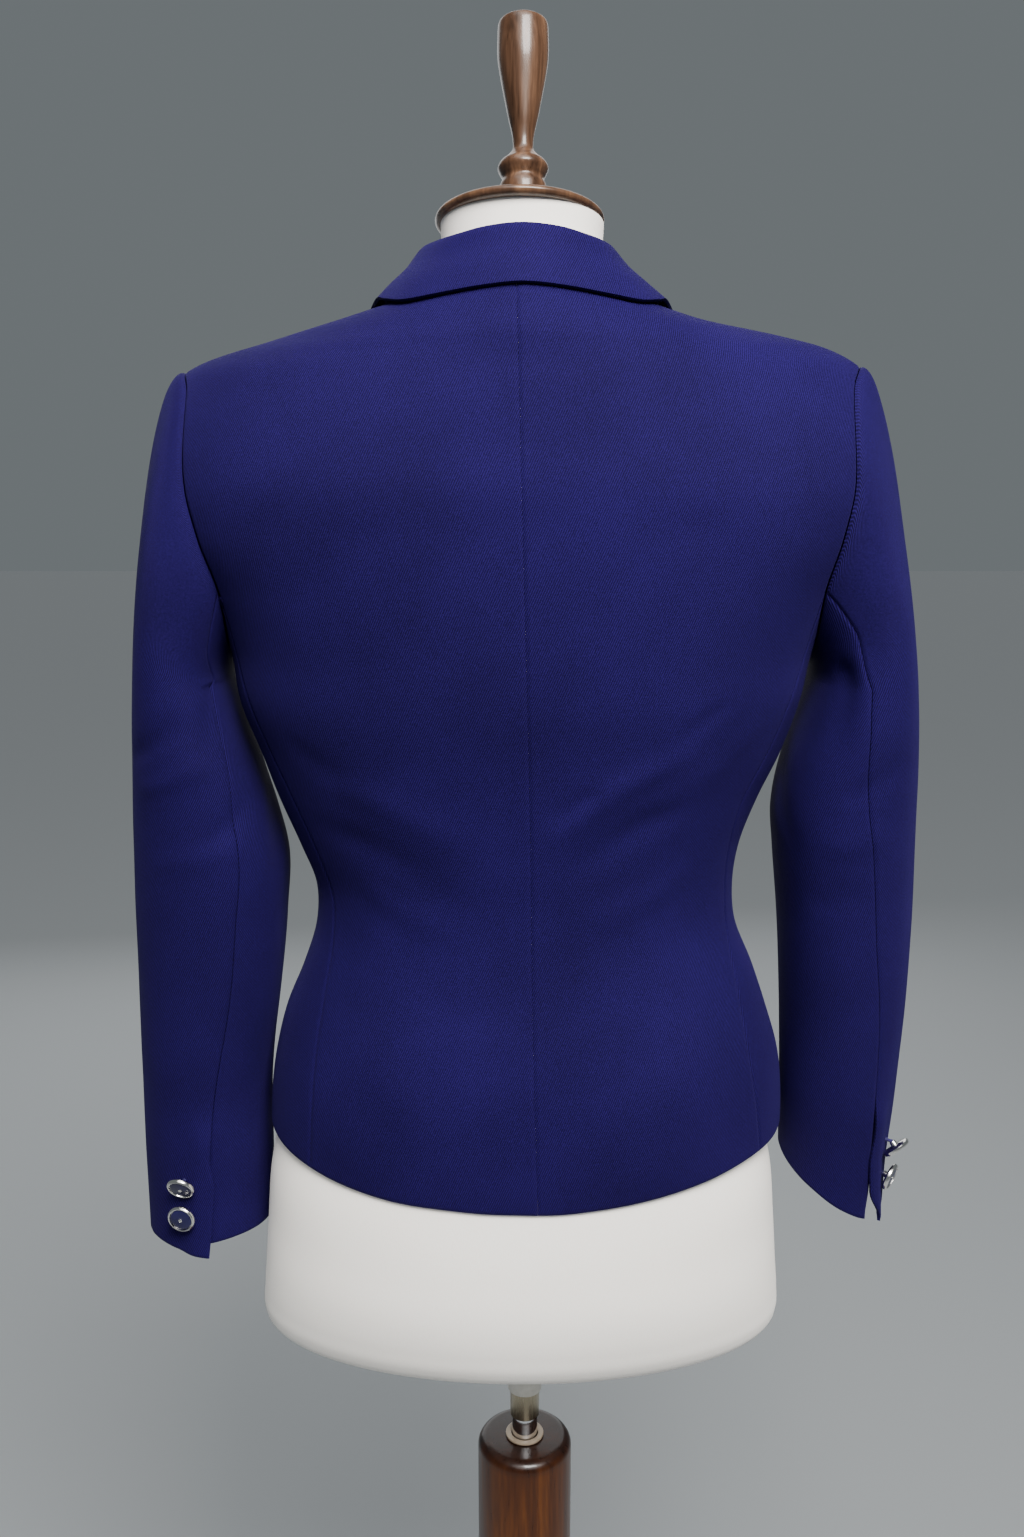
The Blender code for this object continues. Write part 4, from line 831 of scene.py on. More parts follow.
def grid_object(name, grid_mm, flip, middle=False, downward=False, anchor=None):
    """A cloth piece from a grid of points on its outer face, or on its middle, with its wall and UVs.

    Seen from outside, the UVs run right and up the cloth, also where the grid's rows go downward.
    They are measured from the column anchor, which is the middle one if none is given.
    """
    rows, cols = grid_mm.shape[:2]
    anchor = cols // 2 if anchor is None else anchor
    points = grid_mm.reshape(-1, 3) * MM
    corner = np.arange(rows * cols).reshape(rows, cols)
    quads = np.stack([corner[:-1, :-1], corner[:-1, 1:], corner[1:, 1:], corner[1:, :-1]], -1)
    quads = quads.reshape(-1, 4)
    if flip:
        quads = quads[:, ::-1]
    mesh = bpy.data.meshes.new(name)
    mesh.from_pydata(points.tolist(), [], quads.tolist())
    steps = np.linalg.norm(np.diff(grid_mm, axis=1), axis=-1)
    run = np.concatenate([np.zeros((rows, 1)), np.cumsum(steps, axis=1)], axis=1)
    up = -1 if downward else 1
    u = (run - run[:, anchor : anchor + 1]) * (-up if flip else up)
    centre = grid_mm[:, anchor]
    rise = np.append(0.0, np.cumsum(np.linalg.norm(np.diff(centre, axis=0), axis=1)))
    v = up * rise[:, None] + grid_mm[..., 2] - centre[:, None, 2]
    layer = mesh.uv_layers.new(name="Grain")
    places = np.stack([u.ravel(), v.ravel()], -1) * MM
    loops = np.empty(len(mesh.loops), np.int32)
    mesh.loops.foreach_get("vertex_index", loops)
    layer.data.foreach_set("uv", places[loops].astype(np.float32).ravel())
    made = bpy.data.objects.new(name, mesh)
    bpy.context.scene.collection.objects.link(made)
    solid = made.modifiers.new("wall", "SOLIDIFY")
    solid.thickness = WALL * MM
    solid.offset = 0.0 if middle else -1.0
    solid.use_even_offset = True
    soft = made.modifiers.new("soft edges", "BEVEL")
    soft.width = CLOTH_BEVEL * MM
    soft.segments = 2
    soft.limit_method = "ANGLE"
    soft.angle_limit = math.radians(60.0)
    apply_modifiers(made)
    made.data.shade_smooth()
    return made


def cloth_piece(name, grid_mm, flip, middle=False, downward=False, anchor=None):
    """A finished cloth piece in the place of the CAD node of that name."""
    made = grid_object(name + "_cloth", grid_mm, flip, middle, downward, anchor)
    made.data.materials.append(LOOKS["wool_twill"])
    ride(made, "form", name)
    return made


# Cloth pieces


def add_backs():
    """The two back panels."""
    for side in (LEFT, RIGHT):
        phi, z = body_rows(side, centre_back_phi, side_back_phi, 62)
        outer, normal = body_face(side, phi, z)
        outer = outer + normal * body_creases(outer)[..., None]
        outer = pressed(outer, normal, ("first", "last", "low"))
        cloth_piece("back_" + SIDE_NAMES[side], outer, side == LEFT, anchor=0)


def add_side_panels():
    """The panel under each arm."""
    for side in (LEFT, RIGHT):
        phi, z = side_rows(side, 40)
        outer, normal = body_face(side, phi, z)
        outer = outer + normal * body_creases(outer)[..., None]
        outer = pressed(outer, normal, ("first", "last", "low", "high"))
        cloth_piece("side_panel_" + SIDE_NAMES[side], outer, side == LEFT)


def add_fronts():
    """The two fronts."""
    for side in (LEFT, RIGHT):
        phi, z = body_rows(side, side_front_phi, front_edge_phi, 62)
        outer, normal = body_face(side, phi, z)
        lift = front_lift(side, phi, z) + body_creases(outer) * ease((1240.0 - z) / 60.0)
        outer = outer + normal * lift[..., None]
        outer = pressed(outer, normal, ("first", "last", "low"))
        cloth_piece("front_" + SIDE_NAMES[side], outer, side == LEFT)


def refine(middle, rows, cols):
    """A finer grid through the points of a coarse one."""
    down = np.linspace(0, middle.shape[0] - 1, rows)
    over = np.linspace(0, middle.shape[1] - 1, cols)
    tall = np.empty((rows,) + middle.shape[1:])
    for col in range(middle.shape[1]):
        for axis in range(3):
            tall[:, col, axis] = through(np.arange(middle.shape[0]), middle[:, col, axis], down)
    wide = np.empty((rows, cols, 3))
    for row in range(rows):
        for axis in range(3):
            wide[row, :, axis] = through(np.arange(middle.shape[1]), tall[row, :, axis], over)
    return wide


def add_lapels():
    """The turned-back lapels, which lie on the fronts and curl round their roll lines."""
    for side in (LEFT, RIGHT):
        below = np.arange(LAPEL_BOTTOM_Z[side], LAPEL_NOTCH_Z, 3.0)
        levels = np.append(below, np.linspace(LAPEL_NOTCH_Z, LAPEL_TOP_Z, 28))
        share = np.linspace(0, 1, LAPEL_FLAT_COLUMNS)
        belly = LAPEL_BELLY * ease((share - 0.45) / 0.4) * (1 - ease((share - 0.88) / 0.12))
        out = np.append(LAPEL_OUT - WALL / 2 + belly, LAPEL_TURN_OUT)
        rows = []
        for level in levels:
            z = np.array(float(level))
            roll_x = float(table(FRONT_EDGE_COLUMNS, FRONT_EDGE_ROWS, "x", z))
            edge_x = float(table(LAPEL_EDGE_COLUMNS, LAPEL_EDGE_ROWS, "x", z))
            start = float(phi_at_x(side, edge_x, z, -1))
            end = float(phi_at_x(side, roll_x + 1.0, z, -1))
            turn = phi_at_x(side, roll_x - np.array(LAPEL_TURN_SHORT), z, -1)
            phi = np.append(np.linspace(start, end, LAPEL_FLAT_COLUMNS), turn)
            zs = np.full(len(phi), float(level))
            lift = front_lift(side, phi, zs)
            rows.append(body_point(side, phi, zs) + body_normal(side, phi, zs) * (out + lift)[:, None])
        name = "lapel_" + SIDE_NAMES[side]
        cloth_piece(name, np.array(rows), side == LEFT, middle=True)


def collar_station(side, row):
    """The middle of the collar's cloth at one station: up the stand, over the fold, down the fall."""
    at = dict(zip(COLLAR_COLUMNS, row))
    seam_phi = phi_at_x(side, at["seam_x"], np.array(at["seam_z"]), at["seam_face"])
    seam = body_point(side, seam_phi, at["seam_z"])
    edge_phi = phi_at_x(side, at["edge_x"], np.array(at["edge_z"]), at["edge_face"])
    edge = body_point(side, edge_phi, at["edge_z"])
    edge = edge + body_normal(side, edge_phi, at["edge_z"]) * (at["edge_out"] - WALL / 2)
    fold = np.array([side * at["fold_" + SIDE_NAMES[side]], at["fold_y"], at["fold_z"]])
    up = (fold - seam) / np.linalg.norm(fold - seam)
    away = edge - seam
    away = away - up * (away @ up)
    away /= np.linalg.norm(away)
    foot = seam + up * (0.9 + WALL / 2) - away * 0.8
    half = min(2.9, 0.35 * float(np.linalg.norm(fold - seam)))
    shoulder = edge + (fold - edge) * 0.66 + away * 0.8
    return [
        foot,
        foot + (fold - foot) * 0.5 - away * 0.4,
        fold - up * half - away * half * 0.75,
        fold - away * half * 0.1,
        fold - up * half * 0.8 + away * half * 0.9,
        shoulder,
        edge + (fold - edge) * 0.33 + away * 1.2,
        edge,
    ]


def add_collar():
    """One collar, from the gorge of the left front round the neck to that of the right."""
    left = [collar_station(LEFT, row) for row in COLLAR_ROWS]
    right = [collar_station(RIGHT, row) for row in COLLAR_ROWS[1:]]
    middle = refine(np.array(left[::-1] + right), 150, 44).transpose(1, 0, 2)
    cloth_piece("collar", middle, True, middle=True, downward=True)


def add_pocket_flaps():
    """The pocket flaps, each a sheet that hangs a little off its front."""
    for side in (LEFT, RIGHT):
        down = np.linspace(0, 1, 24)[:, None]
        along = np.linspace(0, 1, 30)[None, :]
        x = FLAP["x_back"] + (FLAP["x_front"] - FLAP["x_back"]) * along + 8.0 * down
        z = FLAP["z_top"] - FLAP["depth"] * down * (1 - 0.06 * along)
        phi = phi_at_x(side, x, z, -1)
        out = FLAP["out"] + FLAP["stand"] * down * (1 - 0.5 * along)
        phi, z, out = phi[::-1], z[::-1], out[::-1]
        outer, normal = body_face(side, phi, z)
        outer = pressed(outer + normal * out[..., None], normal, ("first", "last", "low"))
        name = "pocket_flap_" + SIDE_NAMES[side]
        cloth_piece(name, outer, side == LEFT)


def sleeve_levels():
    """Levels of the sleeve's rows, closer together at the armhole and at the cuff."""
    edge = np.array(EDGE_STEPS)
    cap = np.linspace(7.0 / CAP_LENGTH, 1.0, 58)
    tube = np.linspace(1.0, 2.0 - 6.0 / TUBE_LENGTH, 114)[1:]
    return np.concatenate([edge / CAP_LENGTH, cap, tube, 2.0 - edge[::-1] / TUBE_LENGTH])


def sleeve_grid(side, start, end, count):
    """alpha and level of a grid from start(level) to end(level)."""
    levels = sleeve_levels()
    alphas = [
        spread(lambda a, v=level: sleeve_point(side, a, v), start(level), end(level), count, 0.2)
        for level in levels
    ]
    return np.array(alphas), np.repeat(levels[:, None], count, 1)


def upper_sleeve_face(side):
    """Outer grid of the upper sleeve, whose back edge laps over the vent."""

    def start(level):
        return float(sleeve_seam(side, "front", level)) - 360

    def end(level):
        lap = VENT_LAP[side] * ease((level - VENT_LEVEL - 0.08) / 0.06)
        if VENT_SPREAD[side] > 0:
            lap -= (VENT_LAP[side] + VENT_SPREAD[side]) * ease((level - VENT_OPEN_LEVEL) / 0.07)
        return float(sleeve_seam(side, "back", level)) + math.degrees(lap / CUFF_HALF)

    alpha, level = sleeve_grid(side, start, end, 66)
    outer, normal = sleeve_face(side, alpha, level)
    near = alpha - sleeve_seam(side, "back", level)
    lift = VENT_LIFT * vent_share(level) * ease((near + 24) / 18)
    lift += VENT_SPREAD[side] * 0.35 * ease((level - 1.86) / 0.14) * ease((near + 30) / 30)
    lift += sleeve_creases(side, alpha, level)
    outer = outer + normal * lift[..., None]
    outer[..., 2] -= FLAP_DROP[side] * np.clip((near + 56) / 60, 0, 1) ** 1.4 * ease((level - 1.7) / 0.3)
    return pressed(outer, normal, ("first", "last", "low", "high"))


def under_sleeve_face(side):
    """Outer grid of the under sleeve."""

    def start(level):
        apart = VENT_SPREAD[side] * 0.5 * ease((level - VENT_OPEN_LEVEL) / 0.07)
        return float(sleeve_seam(side, "back", level)) + math.degrees(apart / CUFF_HALF)

    def end(level):
        return float(sleeve_seam(side, "front", level))

    alpha, level = sleeve_grid(side, start, end, 42)
    outer, normal = sleeve_face(side, alpha, level)
    outer = outer + normal * sleeve_creases(side, alpha, level)[..., None]
    return pressed(outer, normal, ("first", "last", "low", "high"))


def add_sleeves():
    """Upper and under sleeve of each arm."""
    for side in (LEFT, RIGHT):
        for name, face in (("upper_sleeve_", upper_sleeve_face), ("under_sleeve_", under_sleeve_face)):
            cloth_piece(name + SIDE_NAMES[side], face(side), side == LEFT, downward=True)


# Materials


def node(tree, kind, **values):
    """A shader node with its settings and the inputs that are given by name."""
    made = tree.nodes.new(kind)
    for name, value in values.items():
        if hasattr(made, name):
            setattr(made, name, value)
        else:
            made.inputs[name.replace("_", " ")].default_value = value
    return made


def new_material(name, **sockets):
    """A material with a Principled shader, whose even values are set on the shader itself."""
    made = bpy.data.materials.new(name)
    made.use_nodes = True
    shader = made.node_tree.nodes["Principled BSDF"]
    for socket, value in sockets.items():
        shader.inputs[socket.replace("_", " ")].default_value = value
    return made, made.node_tree, shader


def ramp(tree, source, stops):
    """A colour ramp over source, from (place, colour) stops."""
    made = tree.nodes.new("ShaderNodeValToRGB")
    elements = made.color_ramp.elements
    while len(elements) < len(stops):
        elements.new(0.5)
    for element, (place, colour) in zip(elements, stops):
        element.position = place
        element.color = (*colour, 1.0)
    tree.links.new(source, made.inputs["Fac"])
    return made.outputs["Color"]


def bump(tree, shader, height, strength, distance):
    """Raises the shader's surface by height."""
    made = node(tree, "ShaderNodeBump", Strength=strength, Distance=distance)
    tree.links.new(height, made.inputs["Height"])
    tree.links.new(made.outputs["Normal"], shader.inputs["Normal"])


def math_node(tree, operation, a, b):
    """One sum of two values, each a socket or a number."""
    made = node(tree, "ShaderNodeMath", operation=operation)
    for place, value in enumerate((a, b)):
        if isinstance(value, (int, float)):
            made.inputs[place].default_value = value
        else:
            tree.links.new(value, made.inputs[place])
    return made.outputs["Value"]


def uneven_gloss(tree, shader, source, share, least):
    """Roughness from least up, by a share of source."""
    rough = math_node(tree, "MULTIPLY", source, share)
    tree.links.new(math_node(tree, "ADD", rough, least), shader.inputs["Roughness"])


def object_places(tree, along=1.0):
    """Places on the object, drawn out along its height where along is small."""
    place = node(tree, "ShaderNodeTexCoord").outputs["Object"]
    stretched = node(tree, "ShaderNodeMapping")
    stretched.inputs["Scale"].default_value = (1.0, 1.0, along)
    tree.links.new(place, stretched.inputs["Vector"])
    return stretched.outputs["Vector"]


def noise(tree, vector, **values):
    """A noise over vector, with its inputs given by name."""
    made = node(tree, "ShaderNodeTexNoise", **values)
    tree.links.new(vector, made.inputs["Vector"])
    return made.outputs["Fac"]


def weigh(tree, *parts):
    """The sum of the sockets, each times its share, from (socket, share) pairs."""
    shares = [math_node(tree, "MULTIPLY", socket, share) for socket, share in parts]
    total = shares[0]
    for share in shares[1:]:
        total = math_node(tree, "ADD", total, share)
    return total


TWILL_BLUES = (
    (0.28, (0.0028, 0.0009, 0.019)),
    (0.50, (0.0060, 0.0021, 0.040)),
    (0.74, (0.0125, 0.0050, 0.074)),
)


def wool_twill():
    """Royal-blue twill: steep fine ribs that rise to the right, yarn noise, a soft sheen."""
    made, tree, shader = new_material(
        "wool_twill",
        Roughness=0.80,
        Specular_IOR_Level=0.07,
        Sheen_Weight=0.045,
        Sheen_Roughness=0.45,
        Sheen_Tint=(0.22, 0.16, 0.80, 1.0),
    )
    grain = node(tree, "ShaderNodeUVMap", uv_map="Grain")
    turned = node(tree, "ShaderNodeMapping")
    turned.inputs["Rotation"].default_value = (0.0, 0.0, math.radians(25.0))
    tree.links.new(grain.outputs["UV"], turned.inputs["Vector"])
    ribs = node(tree, "ShaderNodeTexWave", Scale=257.0, Distortion=0.8, Detail=1.0, Detail_Scale=2.0)
    tree.links.new(turned.outputs["Vector"], ribs.inputs["Vector"])
    place = object_places(tree)
    yarn = noise(tree, place, Scale=950.0, Detail=2.0)
    cloud = noise(tree, place, Scale=14.0, Detail=3.0)
    mixed = weigh(tree, (ribs.outputs["Fac"], 0.34), (yarn, 0.40), (cloud, 0.26))
    tree.links.new(ramp(tree, mixed, TWILL_BLUES), shader.inputs["Base Color"])
    bump(tree, shader, weigh(tree, (ribs.outputs["Fac"], 1.0), (yarn, 0.8)), 0.60, 0.00032)
    return made


def ivory_jersey():
    """Cream-white fine jersey, drawn smooth over the form."""
    made, tree, shader = new_material(
        "ivory_jersey",
        Roughness=0.86,
        Specular_IOR_Level=0.25,
        Sheen_Weight=0.12,
        Sheen_Roughness=0.5,
    )
    knit = noise(tree, object_places(tree, 0.35), Scale=1100.0, Detail=2.0)
    soft = noise(tree, object_places(tree), Scale=7.0, Detail=2.0)
    creams = ((0.25, (0.925, 0.875, 0.81)), (0.75, (0.975, 0.935, 0.88)))
    tree.links.new(ramp(tree, weigh(tree, (knit, 0.45), (soft, 0.55)), creams), shader.inputs["Base Color"])
    bump(tree, shader, knit, 0.25, 0.0003)
    return made


# Colour multiplied into the wood over the top of a turned piece, and the height over which it fades in: a
# plain darkening towards the top
TOP_DARKENING_TINT = (0.30, 0.24, 0.30, 1.0)
TOP_DARKENING_RISE = 0.009
# Places of the colour sockets of a mix node, whose names stand there once for each kind of value
MIX_COLOUR_A = 6
MIX_COLOUR_B = 7
MIX_COLOUR_RESULT = 2


def turned_wood(name, dark, middle, light, scale, darker_from=None):
    """Turned, stained and lacquered wood, with its grain along the height.

    The colour is made darker over the top, above the height, in metres, that the last argument gives.
    """
    made, tree, shader = new_material(name, Coat_Weight=0.22, Coat_Roughness=0.10, Specular_IOR_Level=0.28)
    grain = object_places(tree, 0.07)
    figure = noise(tree, grain, Scale=scale, Detail=5.0, Roughness=0.62, Distortion=0.5)
    pores = noise(tree, grain, Scale=scale * 9.0, Detail=2.0)
    mixed = weigh(tree, (figure, 0.75), (pores, 0.25))
    colour = ramp(tree, mixed, ((0.34, dark), (0.50, middle), (0.66, light)))
    # Darker towards the top: fully so above the given height, fading out over the few millimetres below it
    if darker_from is not None:
        split = node(tree, "ShaderNodeSeparateXYZ")
        tree.links.new(object_places(tree), split.inputs["Vector"])
        start = darker_from - TOP_DARKENING_RISE
        depth = node(tree, "ShaderNodeMapRange", From_Min=start, From_Max=darker_from)
        tree.links.new(split.outputs["Z"], depth.inputs["Value"])
        darkened = node(tree, "ShaderNodeMix", data_type="RGBA", blend_type="MULTIPLY")
        darkened.inputs[MIX_COLOUR_B].default_value = TOP_DARKENING_TINT
        tree.links.new(colour, darkened.inputs[MIX_COLOUR_A])
        tree.links.new(depth.outputs["Result"], darkened.inputs["Factor"])
        colour = darkened.outputs[MIX_COLOUR_RESULT]
    tree.links.new(colour, shader.inputs["Base Color"])
    uneven_gloss(tree, shader, pores, 0.3, 0.18)
    bump(tree, shader, pores, 0.12, 0.0004)
    return made


def brushed_metal(name, colour, rough, along):
    """Metal with fine marks, drawn out along its length where along is small."""
    made, tree, shader = new_material(name, Metallic=1.0, Base_Color=(*colour, 1.0))
    marks = noise(tree, object_places(tree, along), Scale=900.0, Detail=3.0)
    uneven_gloss(tree, shader, marks, rough * 0.8, rough * 0.6)
    bump(tree, shader, marks, 0.06, 0.0002)
    return made


def moulded(name, low, high, rough):
    """Moulded plastic or enamel, with a faint unevenness."""
    made, tree, shader = new_material(name, Specular_IOR_Level=0.5)
    cloud = noise(tree, object_places(tree), Scale=160.0, Detail=3.0)
    tree.links.new(ramp(tree, cloud, ((0.3, low), (0.7, high))), shader.inputs["Base Color"])
    uneven_gloss(tree, shader, cloud, 0.2, rough)
    bump(tree, shader, cloud, 0.05, 0.0002)
    return made


WALNUT_BROWNS = ((0.022, 0.010, 0.005), (0.066, 0.032, 0.017), (0.140, 0.072, 0.038))
POST_BROWNS = ((0.015, 0.0036, 0.0005), (0.044, 0.0115, 0.0014), (0.094, 0.028, 0.0030))
LOOKS = {
    "wool_twill": wool_twill(),
    "ivory_jersey": ivory_jersey(),
    "walnut": turned_wood("walnut", *WALNUT_BROWNS, 60.0),
    # The post is made darker over its top
    "brown_wood": turned_wood("brown_wood", *POST_BROWNS, 42.0, POST["top"] * MM - 0.0015),
    "white_nylon": moulded("white_nylon", (0.60, 0.57, 0.50), (0.70, 0.67, 0.61), 0.35),
    "ring_nylon": moulded("ring_nylon", (0.26, 0.20, 0.14), (0.34, 0.27, 0.20), 0.25),
    "brushed_steel": brushed_metal("brushed_steel", (0.40, 0.35, 0.25), 0.30, 0.02),
    "chrome": brushed_metal("chrome", (0.74, 0.74, 0.75), 0.08, 0.05),
    "silver_metal": brushed_metal("silver_metal", (0.80, 0.78, 0.75), 0.16, 1.0),
    "navy_enamel": moulded("navy_enamel", (0.005, 0.004, 0.034), (0.009, 0.007, 0.052), 0.20),
    "sewing_thread": moulded("sewing_thread", (0.006, 0.004, 0.040), (0.014, 0.008, 0.080), 0.70),
}


# Hard pieces


def stretch_profile(rows):
    """Draws the selected ring up through rows of (radius, height), in millimetres, about the Z axis."""
    for (low_radius, low), (radius, height) in zip(rows, rows[1:]):
        bpy.ops.mesh.extrude_region_move(TRANSFORM_OT_translate={"value": (0, 0, (height - low) * MM)})
        share = radius / low_radius
        bpy.ops.transform.resize(value=(share, share, 1.0), center_override=(0.0, 0.0, height * MM))


def turned_piece(name, rows, sides=TURNED_SIDES):
    """A turned piece about the Z axis: a disc, drawn up ring by ring, bottom to top."""
    deselect()
    bpy.ops.mesh.primitive_circle_add(
        vertices=sides, radius=rows[0][0] * MM, fill_type="NGON", location=(0, 0, rows[0][1] * MM)
    )
    made = bpy.context.object
    made.name = name
    bpy.ops.object.transform_apply(location=True, rotation=True, scale=True)
    bpy.ops.object.mode_set(mode="EDIT")
    bpy.ops.mesh.select_all(action="SELECT")
    stretch_profile(rows)
    bpy.ops.mesh.select_all(action="SELECT")
    bpy.ops.mesh.normals_make_consistent(inside=False)
    bpy.ops.object.mode_set(mode="OBJECT")
    return made


def put(made, place_mm, tilt=(0.0, 0.0, 0.0)):
    """Turns and moves a finished piece to its place, and leaves its object at the origin."""
    pick(made)
    made.rotation_euler = tilt
    made.location = [value * MM for value in place_mm]
    bpy.ops.object.transform_apply(location=True, rotation=True, scale=True)


def finish_hard(made, look, body, node_name, angle=35.0):
    """Shades, paints and hands over a hard piece, with its look in its one slot."""
    pick(made)
    bpy.ops.object.shade_smooth_by_angle(angle=math.radians(angle))
    made.data.materials.clear()
    made.data.materials.append(LOOKS[look])
    return ride(made, body, node_name)


def smooth_rows(rows, count):
    """A profile with count rows, smooth through the given (radius, height) rows."""
    place = np.linspace(0, len(rows) - 1, count)
    index = np.arange(len(rows))
    radius = through(index, [row[0] for row in rows], place)
    height = through(index, [row[1] for row in rows], place)
    return list(zip(radius.tolist(), height.tolist()))


def add_neck():
    """The turned cap on the neck and the knob that stands square to it, both leaning forward."""
    lean = math.radians(NECK_TILT)
    rim = CAP["radius"]
    thick = CAP["thick"]
    disc = [(rim - 2.5, 0.0), (rim - 0.8, 1.0), (rim, thick * 0.40), (rim - 0.2, thick * 0.62)]
    disc += [(rim - 1.2, thick - 1.2), (rim - 3.0, thick - 0.3), (rim - 5.0, thick), (rim - 7.0, thick)]
    disc += [(rim - 7.8, thick - 0.5), (rim - 8.6, thick), (rim - 24.0, thick), (18.0, thick)]
    cap = turned_piece("neck_cap_turned", smooth_rows(disc[:8], 26) + disc[8:])
    put(cap, (CAP["x"], CAP["y"], CAP["z"]), (lean, 0.0, 0.0))
    finish_hard(cap, "walnut", "form", "neck_cap")
    knob = turned_piece("neck_knob_turned", smooth_rows(KNOB_ROWS, 90) + [KNOB_TIP], 64)
    height = thick + 0.3
    place = (KNOB_X, CAP["y"] - height * math.sin(lean), CAP["z"] + height * math.cos(lean))
    put(knob, place, (lean, 0.0, 0.0))
    finish_hard(knob, "walnut", "form", "neck_knob", 60.0)


def hollow_tube(name, size):
    """A straight tube on the stand's axis, with softened rims, narrower below if it has a low_radius."""
    deselect()
    low = size.get("low_radius", size["radius"])
    bpy.ops.mesh.primitive_cone_add(
        vertices=TURNED_SIDES,
        radius1=low * MM,
        radius2=size["radius"] * MM,
        depth=(size["top"] - size["bottom"]) * MM,
        end_fill_type="NOTHING",
        location=(STAND_X * MM, 0.0, (size["top"] + size["bottom"]) / 2 * MM),
    )
    made = bpy.context.object
    made.name = name
    bpy.ops.object.transform_apply(location=True, rotation=True, scale=True)
    wall = made.modifiers.new("wall", "SOLIDIFY")
    thick = low - size["inner"]
    wall.thickness = thick * MM
    wall.offset = -1.0
    soft = made.modifiers.new("soft rims", "BEVEL")
    soft.width = min(0.5, thick * 0.3) * MM
    soft.segments = 2
    soft.limit_method = "ANGLE"
    soft.angle_limit = math.radians(50.0)
    apply_modifiers(made)
    return made


def add_tubes():
    """Bush, both tubes and the ring on the post."""
    finish_hard(hollow_tube("bush_moulded", BUSH), "white_nylon", "form", "bush")
    finish_hard(hollow_tube("outer_tube_brushed", OUTER_TUBE), "brushed_steel", "pole", "outer_tube")
    ring = hollow_tube("post_ring_moulded", RING)
    finish_hard(ring, "ring_nylon", "stand", "post_ring")
    wide = INNER_TUBE["radius"]
    bottom = INNER_TUBE["bottom"]
    top = INNER_TUBE["top"]
    chamfer = INNER_TUBE["chamfer"]
    rows = [(wide - chamfer, bottom), (wide, bottom + chamfer), (wide, top - chamfer), (wide - chamfer, top)]
    rod = turned_piece("inner_tube_chromed", rows)
    put(rod, (STAND_X, 0.0, 0.0))
    finish_hard(rod, "chrome", "stand", "inner_tube")


def round_edge(radius, height, bend, steps=8):
    """Rows of a quarter round from the side of a turned piece up onto its top."""
    rows = []
    for step in range(steps + 1):
        angle = math.radians(90.0 * step / steps)
        rows.append((radius - bend + bend * math.cos(angle), height - bend + bend * math.sin(angle)))
    return rows


def add_post_and_base():
    """The turned post with its bore, and the round base."""
    wide = POST["radius"]
    top = POST["top"]
    rows = [(wide - 1.5, POST["foot"]), (wide, POST["foot"] + 1.5), (wide, (POST["foot"] + top) / 2)]
    rows += round_edge(wide, top, POST["round"])
    rows += [(POST["bore"] + 1.0, top), (POST["bore"], top - 1.0), (POST["bore"], POST["bore_bottom"])]
    post = turned_piece("post_turned", rows)
    put(post, (STAND_X, 0.0, 0.0))
    finish_hard(post, "brown_wood", "stand", "post")
    disc = BASE["radius"]
    high = BASE["height"]
    rows = [(disc - 2.0, 0.0), (disc, 2.0)] + round_edge(disc, high, BASE["edge"])
    rows += [(disc - 16.0, high), (disc - 16.8, high - 0.8), (disc - 18.4, high - 0.8), (disc - 19.2, high)]
    rows += [(90.0, high), (40.0, high)]
    base = turned_piece("base_turned", rows, 160)
    put(base, (STAND_X, 0.0, 0.0))
    finish_hard(base, "brown_wood", "stand", "base")


def add_torso():
    """The jersey torso as one smooth closed skin, with the bore for the tube."""
    levels = np.concatenate([np.linspace(start, end, count) for start, end, count in TORSO_RINGS])
    angle = np.radians(np.arange(TORSO_SPOKES) * 360.0 / TORSO_SPOKES)
    c = np.cos(angle)
    s = np.sin(angle)
    rings = []
    for z in levels:
        values = [float(table(TORSO_COLUMNS, TORSO_ROWS, name, z)) for name in TORSO_COLUMNS[1:]]
        half, back, front, y, n = values
        depth = np.where(s >= 0, back, front)
        radius = ((np.abs(c) / half) ** n + (np.abs(s) / depth) ** n) ** (-1 / n)
        ys = y + radius * s
        lean = math.tan(math.radians(NECK_TILT)) * float(ease((z - 1418.0) / 56.0))
        up = 3.0 * float(ease((z - 1458.0) / 14.0))
        rings.append(np.stack([radius * c, ys, z + up + ys * lean], -1))
    bore = np.stack([STAND_X + TORSO_BORE["radius"] * c, TORSO_BORE["radius"] * s], -1)
    low = np.column_stack([bore, np.full(TORSO_SPOKES, levels[0])])
    high = np.column_stack([bore, np.full(TORSO_SPOKES, TORSO_BORE["top"])])
    loops = np.array([high, low] + [low + (rings[0] - low) * 0.55] + rings)
    count = len(loops)
    corner = np.arange(count * TORSO_SPOKES).reshape(count, TORSO_SPOKES)
    after = np.roll(corner, -1, axis=1)
    quads = np.stack([corner[:-1], after[:-1], after[1:], corner[1:]], -1).reshape(-1, 4).tolist()
    quads.append(corner[0][::-1].tolist())
    quads.append(corner[-1].tolist())
    mesh = bpy.data.meshes.new("torso_jersey")
    mesh.from_pydata((loops.reshape(-1, 3) * MM).tolist(), [], quads)
    made = bpy.data.objects.new("torso_jersey", mesh)
    bpy.context.scene.collection.objects.link(made)
    finish_hard(made, "ivory_jersey", "form", "torso", 50.0)


# Buttons


def button_foot(node_name, facing):
    """Foot of a button's shank, in millimetres, from its CAD node and the way that it faces."""
    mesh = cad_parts[node_name].data
    points = np.array([list(vertex.co) for vertex in mesh.vertices]) / MM
    middle = np.unique(points.round(3), axis=0).mean(0)
    return middle + facing * float(((points - middle) @ facing).min())


